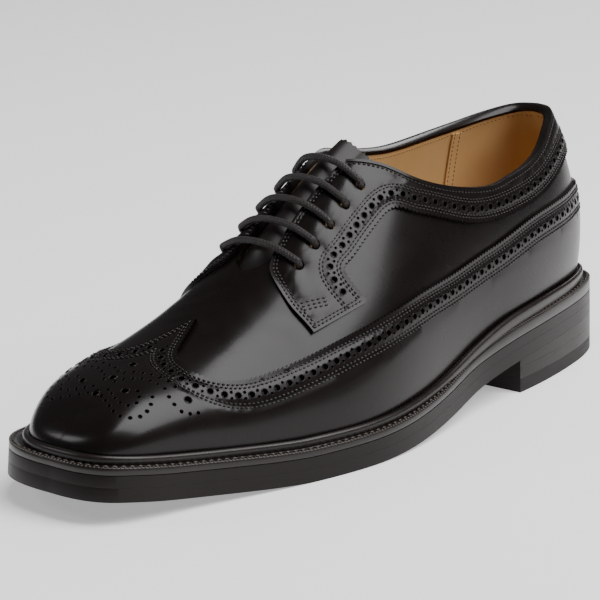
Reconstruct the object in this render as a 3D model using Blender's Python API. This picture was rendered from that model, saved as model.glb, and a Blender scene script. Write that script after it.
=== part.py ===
"""Longwing brogue, left shoe: a derby with a double leather sole, a raised storm
welt and a low stacked heel.  Metres, +Z up, toe toward -Y, outer side of the foot
toward +X, origin on the floor at the middle of the sole's box."""

import math

import bmesh
import bpy
import numpy as np
from mathutils import Vector
from mathutils.geometry import delaunay_2d_cdt

# Driving sizes
SOLE_LENGTH = 0.310
BALL_WIDTH = 0.113
HEEL_HEIGHT = 0.0166
TOE_SPRING = 0.0094
LAST_HEIGHT = 0.1004
OUTSOLE_THICKNESS = 0.0052
MIDSOLE_THICKNESS = 0.0043
WELT_FORE = 0.0028
WELT_HEEL = 0.0048
LIP_FORE = 0.0034
LIP_HEEL = 0.0056
LIP_WIDTH = 0.0026
WELT_UNDERLAP = 0.0095
HEEL_LENGTH = 0.083
TOP_LIFT_THICKNESS = 0.0058
LIFT_THICKNESS = 0.0048
UPPER_WALL = 0.0020
OVERLAY_LEATHER = 0.0012
INSOLE_THICKNESS = 0.0030
TONGUE_THICKNESS = 0.0022
LACE_DIAMETER = 0.0024
EYELET_DIAMETER = 0.0044

# Clearances
SEAT_GAP = 0.0003
OVERLAY_GAP = 0.0005
LACE_GAP = 0.0003

# Sole edge, heel to toe: (station as a share of the length, distance from the
# middle line as a share of the ball width), control points of a smooth curve
LATERAL_EDGE = (
    (0.000, 0.000), (-0.003, 0.137), (0.045, 0.235), (0.123, 0.296), (0.200, 0.341),
    (0.284, 0.367), (0.355, 0.372), (0.426, 0.420), (0.516, 0.478), (0.600, 0.500),
    (0.690, 0.460), (0.768, 0.403), (0.832, 0.350), (0.890, 0.305), (0.955, 0.270),
    (1.003, 0.186), (1.000, 0.004),
)
MEDIAL_EDGE = (
    (0.000, 0.000), (-0.003, -0.146), (0.039, -0.252), (0.110, -0.292), (0.187, -0.292),
    (0.271, -0.265), (0.342, -0.208), (0.432, -0.195), (0.523, -0.292), (0.606, -0.425),
    (0.690, -0.500), (0.774, -0.487), (0.845, -0.451), (0.903, -0.398), (0.968, -0.319),
    (1.003, -0.164), (1.000, 0.004),
)

# Underside of the sole: (station share, share of the heel height, share of the toe spring)
UNDERSIDE = (
    (-0.01, 1.000, 0.0), (0.10, 0.976, 0.0), (0.19, 0.934, 0.0), (0.27, 0.825, 0.0),
    (0.355, 0.580, 0.0), (0.435, 0.295, 0.0), (0.516, 0.108, 0.0), (0.597, 0.018, 0.0),
    (0.655, 0.0, 0.0), (0.715, 0.0, 0.0), (0.755, 0.0, 0.080), (0.823, 0.0, 0.290),
    (0.903, 0.0, 0.590), (0.968, 0.0, 0.905), (1.01, 0.0, 1.060),
)

# Sections of the last, heel to toe.  Station is a share of the sole length, the
# widths are shares of the ball width, the height over the welt a share of the last
# height, and side and shoulder place two more points of the half section.
LAST_COLUMNS = (
    "station", "lateral", "medial", "bulge_lateral", "bulge_medial", "ridge_x",
    "height", "side", "side_height", "shoulder", "shoulder_height",
)
LAST_SECTIONS = (
    (0.013, 0.000, 0.000, 0.000, 0.000, 0.000, 0.802, 0.86, 0.62, 0.60, 0.94),
    (0.013, 0.122, -0.131, 0.018, -0.018, 0.000, 0.802, 0.86, 0.62, 0.60, 0.94),
    (0.052, 0.194, -0.199, 0.031, -0.031, -0.004, 0.814, 0.86, 0.62, 0.60, 0.94),
    (0.135, 0.259, -0.234, 0.035, -0.035, 0.000, 0.839, 0.86, 0.62, 0.60, 0.94),
    (0.242, 0.311, -0.221, 0.022, -0.027, 0.000, 0.874, 0.84, 0.62, 0.58, 0.94),
    (0.339, 0.332, -0.159, 0.022, -0.044, -0.009, 0.919, 0.80, 0.62, 0.54, 0.94),
    (0.435, 0.369, -0.150, 0.027, -0.071, -0.018, 1.000, 0.76, 0.62, 0.48, 0.95),
    (0.526, 0.425, -0.245, 0.018, -0.062, -0.027, 0.858, 0.76, 0.62, 0.44, 0.95),
    (0.613, 0.437, -0.345, 0.009, -0.027, -0.027, 0.660, 0.80, 0.64, 0.44, 0.95),
    (0.694, 0.389, -0.419, 0.009, -0.013, -0.027, 0.478, 0.84, 0.66, 0.46, 0.96),
    (0.768, 0.327, -0.413, 0.009, -0.009, -0.027, 0.364, 0.88, 0.70, 0.48, 0.97),
    (0.839, 0.276, -0.391, 0.009, -0.009, -0.022, 0.279, 0.92, 0.74, 0.50, 0.98),
    (0.897, 0.230, -0.322, 0.009, -0.009, -0.018, 0.239, 0.94, 0.71, 0.50, 0.95),
    (0.955, 0.189, -0.201, 0.009, -0.009, -0.009, 0.182, 0.96, 0.62, 0.50, 0.88),
    (0.971, 0.111, -0.111, 0.004, -0.004, 0.000, 0.172, 1.00, 0.50, 0.55, 0.87),
    (0.971, 0.000, 0.000, 0.000, 0.000, 0.000, 0.169, 1.00, 0.50, 0.60, 0.88),
)

# How far the heel's back and the toe's front move with height, as shares of the
# sole length, for feather, wall, side, shoulder and ridge, and how much of it each
# section next to the end takes
HEEL_LEAN = (0.0211, 0.0100, 0.0177, 0.0490, 0.0619)
HEEL_LEAN_SECTIONS = (1.0, 1.0, 0.8, 0.4, 0.1)
TOE_LEAN = (-0.0026, -0.0026, 0.0160, 0.0420, 0.0580)
TOE_LEAN_SECTIONS = (1.0, 1.05, 0.75, 0.3)

# Pattern lines on the last: (share along from heel to toe, share round from the
# lateral feather over the ridge to the medial feather)
COLLAR_LATERAL = (
    (0.000, 0.350), (0.034, 0.338), (0.100, 0.288), (0.149, 0.240), (0.189, 0.212),
    (0.230, 0.198), (0.266, 0.193), (0.311, 0.208), (0.353, 0.235), (0.384, 0.275),
    (0.411, 0.345), (0.431, 0.417),
)
COLLAR_MEDIAL = (
    (0.000, 0.650), (0.034, 0.660), (0.094, 0.690), (0.169, 0.722), (0.240, 0.735),
    (0.316, 0.728), (0.373, 0.697), (0.405, 0.645), (0.431, 0.583),
)
FACING_EDGE = (
    (0.431, 0.417), (0.450, 0.430), (0.487, 0.440), (0.524, 0.437), (0.551, 0.425),
)
THROAT_CORNER = (
    (0.551, 0.425), (0.570, 0.390), (0.584, 0.285), (0.580, 0.190),
)
FACING_REAR = (
    (0.580, 0.190), (0.541, 0.175), (0.503, 0.160), (0.511, 0.215), (0.508, 0.245),
    (0.490, 0.246), (0.455, 0.250), (0.420, 0.246), (0.386, 0.203), (0.330, 0.158),
    (0.284, 0.138), (0.233, 0.135), (0.171, 0.150), (0.084, 0.200), (0.040, 0.216), (0.000, 0.222),
)
WING_LATERAL = (
    (0.000, 0.137), (0.080, 0.132), (0.121, 0.125), (0.197, 0.113), (0.254, 0.100),
    (0.290, 0.095), (0.363, 0.092), (0.437, 0.105), (0.503, 0.122), (0.560, 0.140),
    (0.616, 0.155), (0.689, 0.177), (0.731, 0.230), (0.746, 0.310), (0.729, 0.415),
    (0.656, 0.500),
)
THROAT_END = 0.578
TONGUE_TOP = 0.408
TONGUE_FRONT = 0.615
TONGUE_HALF = 0.150
EYELET_STATIONS = (0.441, 0.467, 0.493, 0.519, 0.546)
EYELET_ROUND = 0.335

# Fineness of the mesh
ALONG_STEPS = 40
ROUND_STEPS = 22
END_CROWDING = 0.60
SOLE_ROWS = 40
SOLE_COLUMNS = 2
EYELET_SIDES = 8

COLLECTION_NAME = "Longwing_Brogue"


def spline_basis(count, places, order=0):
    """Values (or derivatives) of a clamped uniform cubic B-spline's basis."""
    places = np.clip(np.asarray(places, float), 0.0, 1.0 - 1e-9)
    knots = np.r_[np.zeros(3), np.linspace(0.0, 1.0, count - 2), np.ones(3)]

    def value(i, degree):
        if degree == 0:
            return ((places >= knots[i]) & (places < knots[i + 1])).astype(float)
        left = knots[i + degree] - knots[i]
        right = knots[i + degree + 1] - knots[i + 1]
        total = np.zeros_like(places)
        if left > 0:
            total = total + (places - knots[i]) / left * value(i, degree - 1)
        if right > 0:
            total = total + (knots[i + degree + 1] - places) / right * value(i + 1, degree - 1)
        return total

    def slope(i):
        left = knots[i + 3] - knots[i]
        right = knots[i + 4] - knots[i + 1]
        total = np.zeros_like(places)
        if left > 0:
            total = total + 3.0 / left * value(i, 2)
        if right > 0:
            total = total - 3.0 / right * value(i + 1, 2)
        return total

    if order:
        return np.stack([slope(i) for i in range(count)], -1)
    return np.stack([value(i, 3) for i in range(count)], -1)


def edge_curve(table, places):
    """Points (x, y) of a sole edge, y counted from the heel's back."""
    points = np.array([(x * BALL_WIDTH, y * SOLE_LENGTH) for y, x in table])
    return spline_basis(len(points), places) @ points


def underside(y):
    """Height of the sole's underside over the floor, and its slope, at y."""
    table = np.array(UNDERSIDE)
    stations = table[:, 0] * SOLE_LENGTH
    heights = table[:, 1] * HEEL_HEIGHT + table[:, 2] * TOE_SPRING
    tangents = np.gradient(heights, stations)
    y = np.clip(y, stations[0], stations[-1])
    i = np.clip(np.searchsorted(stations, y) - 1, 0, len(stations) - 2)
    span = stations[i + 1] - stations[i]
    t = (y - stations[i]) / span
    rise = heights[i + 1] - heights[i]
    a = tangents[i] * span - rise
    b = -tangents[i + 1] * span + rise
    height = heights[i] + rise * t + t * (1 - t) * (a * (1 - t) + b * t)
    slope = (rise + (1 - 2 * t) * (a * (1 - t) + b * t) + t * (1 - t) * (b - a)) / span
    return np.maximum(height, 0.0), np.where(height > 0.0, slope, 0.0)


def deck(y, depth):
    """Height of a layer that lies depth above the sole's underside."""
    height, slope = underside(y)
    return height + depth * np.sqrt(1.0 + slope ** 2)


def leaned(xy, depth):
    """Edge points of a layer, leaned with the toe spring so the edge stays square."""
    slope = underside(xy[:, 1])[1]
    return np.c_[xy[:, 0], xy[:, 1] - depth * slope]


SOLE_STACK = OUTSOLE_THICKNESS + SEAT_GAP + MIDSOLE_THICKNESS


def along_blend(y, fore, heel):
    """A size that changes from its heel value to its forepart value over the waist."""
    share = np.clip((y / SOLE_LENGTH - 0.27) / (0.48 - 0.27), 0.0, 1.0)
    share = share * share * (3.0 - 2.0 * share)
    return heel + (fore - heel) * share


def welt_top(y):
    """Height of the welt's flat shelf, which the upper stands on."""
    return deck(y, SOLE_STACK + SEAT_GAP + along_blend(y, WELT_FORE, WELT_HEEL))


def frame_shift():
    """Middle of the sole's box, in (x, y) counted from the heel's back."""
    places = np.linspace(0.0, 1.0, 801)
    edges = np.vstack([edge_curve(LATERAL_EDGE, places), edge_curve(MEDIAL_EDGE, places)])
    return (edges.min(axis=0) + edges.max(axis=0)) / 2.0


SHIFT = frame_shift()


def to_world(points):
    """Turn shoe coordinates (y from heel to toe) into the part's frame."""
    points = np.asarray(points, float)
    return np.stack([points[..., 0] - SHIFT[0], SHIFT[1] - points[..., 1], points[..., 2]], -1)


def last_net():
    """Control net of the last, section by section, nine points in each."""
    rows = [dict(zip(LAST_COLUMNS, row)) for row in LAST_SECTIONS]
    net = np.zeros((len(rows), 9, 3))
    for i, row in enumerate(rows):
        y = row["station"] * SOLE_LENGTH
        base = float(welt_top(np.array([y]))[0]) + SEAT_GAP
        height = row["height"] * LAST_HEIGHT
        ridge_x = row["ridge_x"] * BALL_WIDTH
        for side, places in (("lateral", (0, 1, 2, 3)), ("medial", (8, 7, 6, 5))):
            feather_x = row[side] * BALL_WIDTH
            bulge = row["bulge_" + side] * BALL_WIDTH
            width = feather_x - ridge_x
            net[i, places[0]] = (feather_x, y, base)
            net[i, places[1]] = (feather_x + bulge, y, base + 0.30 * height)
            net[i, places[2]] = (ridge_x + width * row["side"] + 0.4 * bulge, y,
                                 base + row["side_height"] * height)
            net[i, places[3]] = (ridge_x + width * row["shoulder"], y,
                                 base + row["shoulder_height"] * height)
        net[i, 4] = (ridge_x, y, base + height)
    heel = np.array(HEEL_LEAN + HEEL_LEAN[-2::-1]) * SOLE_LENGTH
    toe = np.array(TOE_LEAN + TOE_LEAN[-2::-1]) * SOLE_LENGTH
    for i, share in enumerate(HEEL_LEAN_SECTIONS):
        net[i, :, 1] += heel * share
    for i, share in enumerate(TOE_LEAN_SECTIONS):
        net[-1 - i, :, 1] -= toe * share
    return net


NET = last_net()
FEATHER_BLEND = 0.14


def last_point(u, v):
    """Points of the last's surface, its feather line laid on the welt."""
    u = np.asarray(u, float)
    v = np.asarray(v, float)
    along = spline_basis(NET.shape[0], u)
    around = spline_basis(NET.shape[1], v)
    point = np.einsum("ni,nj,ijk->nk", along, around, NET)
    edge_v = np.where(v < 0.5, 0.0, 1.0)
    edge = np.einsum("ni,nj,ijk->nk", along, spline_basis(NET.shape[1], edge_v), NET)
    near = np.clip(1.0 - np.abs(v - edge_v) / FEATHER_BLEND, 0.0, 1.0)
    near = near * near * (3.0 - 2.0 * near)
    point[:, 2] += near * (welt_top(edge[:, 1]) + SEAT_GAP - edge[:, 2])
    return point


def last_normal(u, v):
    """Outward normals of the last's surface, by small steps both ways."""
    step = 0.0015
    u = np.asarray(u, float)
    at_seam = (u < 1e-6) | (u > 1.0 - 1e-6)
    u = np.clip(u, step * 2, 1.0 - step * 2)
    v = np.clip(np.asarray(v, float), step, 1.0 - step)
    along = last_point(u + step, v) - last_point(u - step, v)
    around = last_point(u, v + step) - last_point(u, v - step)
    normal = np.cross(along, around)
    normal[at_seam, 0] = 0.0
    return normal / np.linalg.norm(normal, axis=1)[:, None]


def lifted(u, v, lift):
    """Points at a distance from the last, never lower than the welt allows."""
    point = last_point(u, v) + last_normal(u, v) * np.asarray(lift)[..., None]
    point[:, 2] = np.maximum(point[:, 2], welt_top(point[:, 1]) + SEAT_GAP)
    return point


def crowd(t):
    """Share along the last for an even step t, closer together at heel and toe."""
    return t - END_CROWDING * np.sin(2 * np.pi * t) / (2 * np.pi)


def uncrowd(u):
    """Even step for a share along the last."""
    t = np.linspace(0.0, 1.0, 2001)
    return np.interp(u, crowd(t), t)


def through(points, spacing=0.012):
    """A smooth line through pattern points, read at about even spacing."""
    points = np.array(points, float)
    before = 2 * points[0] - points[1]
    after = 2 * points[-1] - points[-2]
    guide = np.vstack([before, points, after])
    line = []
    for i in range(len(points) - 1):
        a, b, c, d = guide[i:i + 4]
        steps = max(1, round(np.linalg.norm(c - b) / spacing))
        for k in range(steps):
            t = k / steps
            line.append(0.5 * (2 * b + (c - a) * t + (2 * a - 5 * b + 4 * c - d) * t * t
                               + (3 * b - a - 3 * c + d) * t ** 3))
    line.append(points[-1])
    return [tuple(point) for point in line]


def straight(start, end, count):
    """Evenly spaced pattern points from start up to, but not on, end."""
    return [tuple(np.array(start) + (np.array(end) - start) * k / count) for k in range(count)]


def even_sides(start_v, end_v, u):
    """Pattern points up or down the seam at heel or toe, alike on both sides."""
    ladder = [k / ROUND_STEPS for k in range(ROUND_STEPS + 1)]
    low, high = sorted((start_v, end_v))
    inner = [v for v in ladder if low + 0.01 < v < high - 0.01]
    if start_v > end_v:
        inner.reverse()
    return [(u, start_v)] + [(u, v) for v in inner] + [(u, end_v)]


def mirrored(points):
    """The same pattern points on the other side of the foot."""
    return [(u, 1.0 - v) for u, v in points]


def loop_of(*runs):
    """Join runs of pattern points into one closed loop without repeats."""
    loop = []
    for run in runs:
        for point in run:
            if not loop or abs(point[0] - loop[-1][0]) + abs(point[1] - loop[-1][1]) > 1e-6:
                loop.append(tuple(point))
    if abs(loop[0][0] - loop[-1][0]) + abs(loop[0][1] - loop[-1][1]) < 1e-6:
        loop.pop()
    return loop


def inside(points, loop):
    """Which points lie inside a closed loop."""
    result = np.zeros(len(points), bool)
    for (ax, ay), (bx, by) in zip(loop, loop[1:] + loop[:1]):
        crosses = (ay > points[:, 1]) != (by > points[:, 1])
        reach = (bx - ax) * (points[:, 1] - ay) / (by - ay + 1e-15) + ax
        result ^= crosses & (points[:, 0] < reach)
    return result


def near_loop(points, loop, distance):
    """Which points lie closer than a distance to a loop."""
    start = np.array(loop)
    run = np.roll(start, -1, axis=0) - start
    length = (run ** 2).sum(1) + 1e-15
    t = ((points[:, None] - start) * run).sum(2) / length
    foot = start + np.clip(t, 0, 1)[..., None] * run
    return ((points[:, None] - foot) ** 2).sum(2).min(1) < distance ** 2


def pattern_mesh(loop, holes=()):
    """Triangles of a pattern piece: its own edge and a shared lattice inside it."""
    shape = np.array([SOLE_LENGTH, 0.55 * SOLE_LENGTH])

    def flat(points):
        points = np.array(points, float)
        return np.c_[uncrowd(points[:, 0]), points[:, 1]] * shape

    rings = [[tuple(p) for p in flat(ring)] for ring in (loop,) + tuple(holes)]
    lattice = []
    for i in range(1, ROUND_STEPS):
        shift = 0.5 * (i % 2)
        for k in range(ALONG_STEPS):
            lattice.append(((k + shift) / ALONG_STEPS, i / ROUND_STEPS))
    lattice = np.array(lattice) * shape
    keep = inside(lattice, rings[0]) & ~near_loop(lattice, rings[0], 0.0026)
    for ring in rings[1:]:
        keep &= ~inside(lattice, ring) & ~near_loop(lattice, ring, 0.0024)
    lattice = lattice[keep]
    points = [p for ring in rings for p in ring] + [tuple(p) for p in lattice]
    edges = []
    first = 0
    for ring in rings:
        count = len(ring)
        edges += [(first + k, first + (k + 1) % count) for k in range(count)]
        first += count
    found = delaunay_2d_cdt([Vector(p) for p in points], edges, [], 0, 1e-9)
    where = np.array([tuple(p) for p in found[0]])
    faces = [tuple(face) for face in found[2]]
    centre = np.array([where[list(face)].mean(axis=0) for face in faces])
    good = inside(centre, rings[0])
    for ring in rings[1:]:
        good &= ~inside(centre, ring)
    faces = [face for face, fine in zip(faces, good) if fine]
    where = where / shape
    return crowd(where[:, 0]), where[:, 1], faces


def face_out(work):
    """Turn every face of a closed mesh outward."""
    bmesh.ops.recalc_face_normals(work, faces=work.faces)
    if work.calc_volume(signed=True) < 0.0:
        bmesh.ops.reverse_faces(work, faces=work.faces)


def new_object(name, vertices, faces, material, smooth=True):
    """Make a mesh object in the shoe's collection, with its faces pointing out."""
    mesh = bpy.data.meshes.new(name)
    mesh.from_pydata([tuple(p) for p in vertices], [], faces)
    work = bmesh.new()
    work.from_mesh(mesh)
    bmesh.ops.remove_doubles(work, verts=work.verts, dist=0.00001)
    face_out(work)
    work.to_mesh(mesh)
    work.free()
    if smooth:
        mesh.shade_smooth()
        mesh.set_sharp_from_angle(angle=math.radians(40))
    thing = bpy.data.objects.new(name, mesh)
    thing.data.materials.append(material)
    SHOE.objects.link(thing)
    return thing


def leather_shell(name, loop, material, lift, thickness, holes=()):
    """A pattern piece of leather laid round the last at a distance from it."""
    u, v, faces = pattern_mesh(loop, holes)
    count = len(u)
    keys = {}
    same = []
    for i in range(count):
        at_seam = u[i] < 1e-6 or u[i] > 1.0 - 1e-6
        key = (round(u[i]), round(min(v[i], 1.0 - v[i]) * 10000))
        same.append(keys.setdefault(key, i) if at_seam else i)
    faces = [tuple(same[i] for i in face) for face in faces]
    corners = [frozenset(face) for face in faces]
    folded = {three for three in corners if corners.count(three) > 1}
    faces = [face for face, three in zip(faces, corners)
             if len(three) == 3 and three not in folded]
    level = lift(u) if callable(lift) else np.full(count, lift)
    inner = lifted(u, v, level)
    outer = lifted(u, v, level + thickness)
    directed = {}
    for a, b, c in faces:
        for edge in ((a, b), (b, c), (c, a)):
            directed[edge] = directed.get(edge, 0) + 1
    rim = [(a, b) for (a, b) in directed if (b, a) not in directed]
    skin = [face for face in faces]
    skin += [(c + count, b + count, a + count) for a, b, c in faces]
    skin += [(b, a, a + count, b + count) for a, b in rim]
    vertices = to_world(np.vstack([outer, inner]))
    thing = new_object(name, vertices, skin, material)
    drop_loose(thing)
    return thing


def drop_loose(thing):
    """Remove points that no face uses."""
    work = bmesh.new()
    work.from_mesh(thing.data)
    loose = [vertex for vertex in work.verts if not vertex.link_faces]
    bmesh.ops.delete(work, geom=loose, context="VERTS")
    work.to_mesh(thing.data)
    work.free()


def slab(name, lateral, medial, low, high, material, columns=SOLE_COLUMNS):
    """A layer of the sole between two edge lines, its faces at the given heights.

    low and high are (edge lateral, edge medial, height function) and the two faces
    have the same number of rows."""
    vertices = []
    rows = len(lateral[0])
    for side_l, side_m, height in ((lateral[0], medial[0], low), (lateral[1], medial[1], high)):
        for left, right in zip(side_l, side_m):
            for k in range(columns + 1):
                x, y = left + (right - left) * k / columns
                vertices.append((x, y, float(height(np.array([y]))[0])))
    wide = columns + 1
    top = rows * wide
    faces = []
    for r in range(rows - 1):
        for k in range(columns):
            a = r * wide + k
            faces.append((a, a + 1, a + wide + 1, a + wide))
            faces.append((top + a, top + a + wide, top + a + wide + 1, top + a + 1))
    ring = [k for k in range(wide)]
    ring += [r * wide + columns for r in range(1, rows)]
    ring += [(rows - 1) * wide + k for k in range(columns - 1, -1, -1)]
    ring += [r * wide for r in range(rows - 2, 0, -1)]
    for a, b in zip(ring, ring[1:] + ring[:1]):
        faces.append((a, top + a, top + b, b))
    thing = new_object(name, to_world(vertices), faces, material)
    drop_flat(thing)
    return thing


def drop_flat(thing):
    """Dissolve the faces without area where the two edges of a slab meet."""
    work = bmesh.new()
    work.from_mesh(thing.data)
    bmesh.ops.dissolve_degenerate(work, edges=work.edges, dist=0.00001)
    bmesh.ops.triangulate(work, faces=work.faces)
    face_out(work)
    work.to_mesh(thing.data)
    work.free()


def sole_rows():
    """Even places along the sole's edges, closer together at heel and toe."""
    t = np.linspace(0.0, 1.0, SOLE_ROWS)
    return t - 0.75 * np.sin(2 * np.pi * t) / (2 * np.pi)


def sole_layer(name, bottom, thickness, material):
    """A full-length layer of the sole, bottom being its depth over the underside."""
    places = sole_rows()
    lateral = edge_curve(LATERAL_EDGE, places)
    medial = edge_curve(MEDIAL_EDGE, places)
    top = bottom + thickness
    return slab(
        name,
        (leaned(lateral, bottom), leaned(lateral, top)),
        (leaned(medial, bottom), leaned(medial, top)),
        lambda y: deck(y, bottom), lambda y: deck(y, top), material)


def heel_layer(name, low, high, material):
    """A lift of the heel, from its round back to its straight breast."""
    places = np.linspace(0.0, 0.45, 1201)
    edges = []
    for table in (LATERAL_EDGE, MEDIAL_EDGE):
        curve = edge_curve(table, places)
        steps = np.linspace(0.0, 1.0, 16)
        end = np.interp(HEEL_LENGTH, curve[:, 1], places)
        read = edge_curve(table, end * steps ** 1.6)
        read[-1, 1] = HEEL_LENGTH
        edges.append(read)
    return slab(name, (edges[0], edges[0]), (edges[1], edges[1]), low, high, material)


def make_heel(material, top_material):
    """Top lift on the floor and two leather lifts up to the outsole."""
    first = TOP_LIFT_THICKNESS + SEAT_GAP
    second = first + LIFT_THICKNESS + SEAT_GAP
    heel_layer("top_lift", lambda y: 0.0 * y, lambda y: 0.0 * y + TOP_LIFT_THICKNESS,
               top_material)
    heel_layer("heel_lift_lower", lambda y: 0.0 * y + first,
               lambda y: 0.0 * y + first + LIFT_THICKNESS, material)
    heel_layer("heel_lift_upper", lambda y: 0.0 * y + second,
               lambda y: underside(y)[0] - SEAT_GAP, material)


def ring_places():
    """Places once round the feather line: along the lateral side, back on the medial."""
    t = np.linspace(0.0, 1.0, ALONG_STEPS + 1)
    u = crowd(t)
    lateral = [(place, 0.0) for place in u]
    medial = [(place, 1.0) for place in u[-2:0:-1]]
    return np.array(lateral + medial)


def feather_ring():
    """Feather points once round, and their level outward directions."""
    places = ring_places()
    point = last_point(places[:, 0], places[:, 1])
    tangent = np.roll(point, -1, axis=0) - np.roll(point, 1, axis=0)
    normal = np.c_[-tangent[:, 1], tangent[:, 0]]
    normal /= np.linalg.norm(normal, axis=1)[:, None]
    middle = point[:, :2].mean(axis=0)
    turn = np.sign(((point[:, :2] - middle) * normal).sum())
    return places, point, normal * turn


def wall_offset(places, point, normal, height, lift=0.0):
    """How far a layer lifted off the last stands outside the feather line, level
    with a height over the welt."""
    steps = np.linspace(0.0, 0.16, 33)
    offset = []
    for (u, v), foot, out, rise in zip(places, point, normal, height):
        rounds = steps if v < 0.5 else 1.0 - steps
        along = np.full(len(steps), u)
        line = last_point(along, rounds) + last_normal(along, rounds) * lift
        reach = ((line[:, :2] - foot[:2]) * out).sum(1)
        offset.append(np.interp(rise, line[:, 2] - foot[2], reach))
    return np.array(offset)


def make_welt(material):
    """Storm welt all round: a flat shelf outside and a raised lip at the upper."""
    places, point, normal = feather_ring()
    y = point[:, 1]
    lip = along_blend(y, LIP_FORE, LIP_HEEL)
    bottom = SOLE_STACK + SEAT_GAP
    shelf = bottom + along_blend(y, WELT_FORE, WELT_HEEL)
    cover = OVERLAY_GAP + OVERLAY_LEATHER + SEAT_GAP
    foot = wall_offset(places, point, normal, lip * 0.0, cover)
    at_half = wall_offset(places, point, normal, lip * 0.5, cover)
    at_lip = wall_offset(places, point, normal, lip, cover)
    at_lip = np.maximum(at_lip, at_half * 2.0 - foot - 0.0002)
    sections = []
    for k in range(len(places)):
        base = point[k, :2]
        edge = edge_point(base, normal[k])
        outward = lambda distance, k=k: base + normal[k] * distance
        ring = [
            (edge, bottom, 0.0, 1),
            (edge, shelf[k], 0.0, 1),
            (outward(foot[k] + LIP_WIDTH), shelf[k], 0.0, 0),
            (outward(at_half[k] + LIP_WIDTH), shelf[k], lip[k] * 0.62, 0),
            (outward(at_lip[k] + LIP_WIDTH * 0.5), shelf[k], lip[k], 0),
            (outward(at_lip[k]), shelf[k], lip[k] * 0.86, 0),
            (outward(foot[k]), shelf[k], 0.0, 0),
            (outward(-WELT_UNDERLAP), shelf[k], 0.0, 0),
            (outward(-WELT_UNDERLAP), bottom, 0.0, 0),
        ]
        section = []
        for xy, depth, rise, leans in ring:
            xy = np.array(xy)
            if leans:
                xy = leaned(xy[None, :], depth)[0]
            z = float(deck(np.array([xy[1]]), depth)[0]) + rise
            section.append((xy[0], xy[1], z))
        sections.append(section)
    size = len(sections[0])
    count = len(sections)
    vertices = [p for section in sections for p in section]
    faces = []
    for k in range(count):
        for j in range(size):
            a = k * size + j
            b = k * size + (j + 1) % size
            c = ((k + 1) % count) * size + (j + 1) % size
            d = ((k + 1) % count) * size + j
            faces.append((a, b, c, d))
    thing = new_object("storm_welt", to_world(vertices), faces, material)
    drop_flat(thing)


def sole_outline():
    """The whole sole edge as one closed line."""
    places = np.linspace(0.0, 1.0, 241)
    lateral = edge_curve(LATERAL_EDGE, places)
    medial = edge_curve(MEDIAL_EDGE, places)
    return np.vstack([lateral, medial[-2:0:-1]])


OUTLINE = sole_outline()


def edge_point(start, direction):
    """Where a level ray from inside the sole meets the sole's edge."""
    a = OUTLINE
    run = np.roll(a, -1, axis=0) - a
    cross = run[:, 0] * direction[1] - run[:, 1] * direction[0]
    cross = np.where(np.abs(cross) < 1e-12, 1e-12, cross)
    gap = start - a
    along = (gap[:, 0] * direction[1] - gap[:, 1] * direction[0]) / cross
    reach = (gap[:, 0] * run[:, 1] - gap[:, 1] * run[:, 0]) / cross
    good = (along >= 0) & (along <= 1) & (reach > 0)
    return start + direction * reach[good].min()


def make_insole(material):
    """Insole inside the upper, resting on the welt's inner flange."""
    places, point, normal = feather_ring()
    inset = UPPER_WALL + 2 * SEAT_GAP
    count = len(places)
    low = point[:, :2] - normal * inset
    rise = np.full(count, SEAT_GAP + INSOLE_THICKNESS)
    swell = wall_offset(places, point, normal, rise)
    high = point[:, :2] + normal * (swell - inset)[:, None]
    out = np.arange(ALONG_STEPS + 1)
    back = np.r_[0, np.arange(count - 1, ALONG_STEPS, -1), ALONG_STEPS]
    slab("insole", (low[out], high[out]), (low[back], high[back]),
         lambda y: welt_top(y) + SEAT_GAP,
         lambda y: welt_top(y) + SEAT_GAP + INSOLE_THICKNESS, material)


def eyelet_holes(side):
    """Round holes for the lace in the facing, as rings of pattern points."""
    holes = []
    for station in EYELET_STATIONS:
        centre = (station, EYELET_ROUND if side == "lateral" else 1.0 - EYELET_ROUND)
        holes.append(ring_on_last(centre, EYELET_DIAMETER / 2.0))
    return holes


def metric(u, v):
    """Metres per share along and round the last at a place."""
    step = 0.01
    a = last_point([u - step, u + step], [v, v])
    b = last_point([u, u], [v - step, v + step])
    return np.linalg.norm(a[1] - a[0]) / (2 * step), np.linalg.norm(b[1] - b[0]) / (2 * step)


def ring_on_last(centre, radius):
    """A round hole on the last, turned into pattern points."""
    along, around = metric(*centre)
    ring = []
    for k in range(EYELET_SIDES):
        angle = 2 * math.pi * k / EYELET_SIDES
        ring.append((centre[0] + radius * math.cos(angle) / along,
                     centre[1] + radius * math.sin(angle) / around))
    return ring


def throat_line():
    """The slot's edge from the lateral collar end round the throat to the medial."""
    lateral = through(FACING_EDGE)
    turn = [(0.566, 0.446), (THROAT_END, 0.5), (0.566, 0.554)]
    return lateral + turn + mirrored(lateral)[::-1]


def upper_loop():
    """The whole upper: feather line, toe, heel seam, collar and throat slot."""
    steps = [k / ALONG_STEPS for k in range(ALONG_STEPS + 1)]
    feather = [(float(crowd(np.array(t))), 0.0) for t in steps]
    collar_l = through(COLLAR_LATERAL)
    collar_m = through(COLLAR_MEDIAL)
    return loop_of(
        feather,
        even_sides(0.0, 1.0, 1.0),
        mirrored(feather)[::-1],
        even_sides(1.0, COLLAR_MEDIAL[0][1], 0.0),
        collar_m,
        throat_line()[::-1],
        collar_l[::-1],
        even_sides(COLLAR_LATERAL[0][1], 0.0, 0.0),
    )


def make_upper(material):
    """Vamp and quarters as one hollow wall inside the last's surface."""
    holes = eyelet_holes("lateral") + eyelet_holes("medial")
    return leather_shell("upper", upper_loop(), material, -UPPER_WALL, UPPER_WALL, holes)


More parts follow.
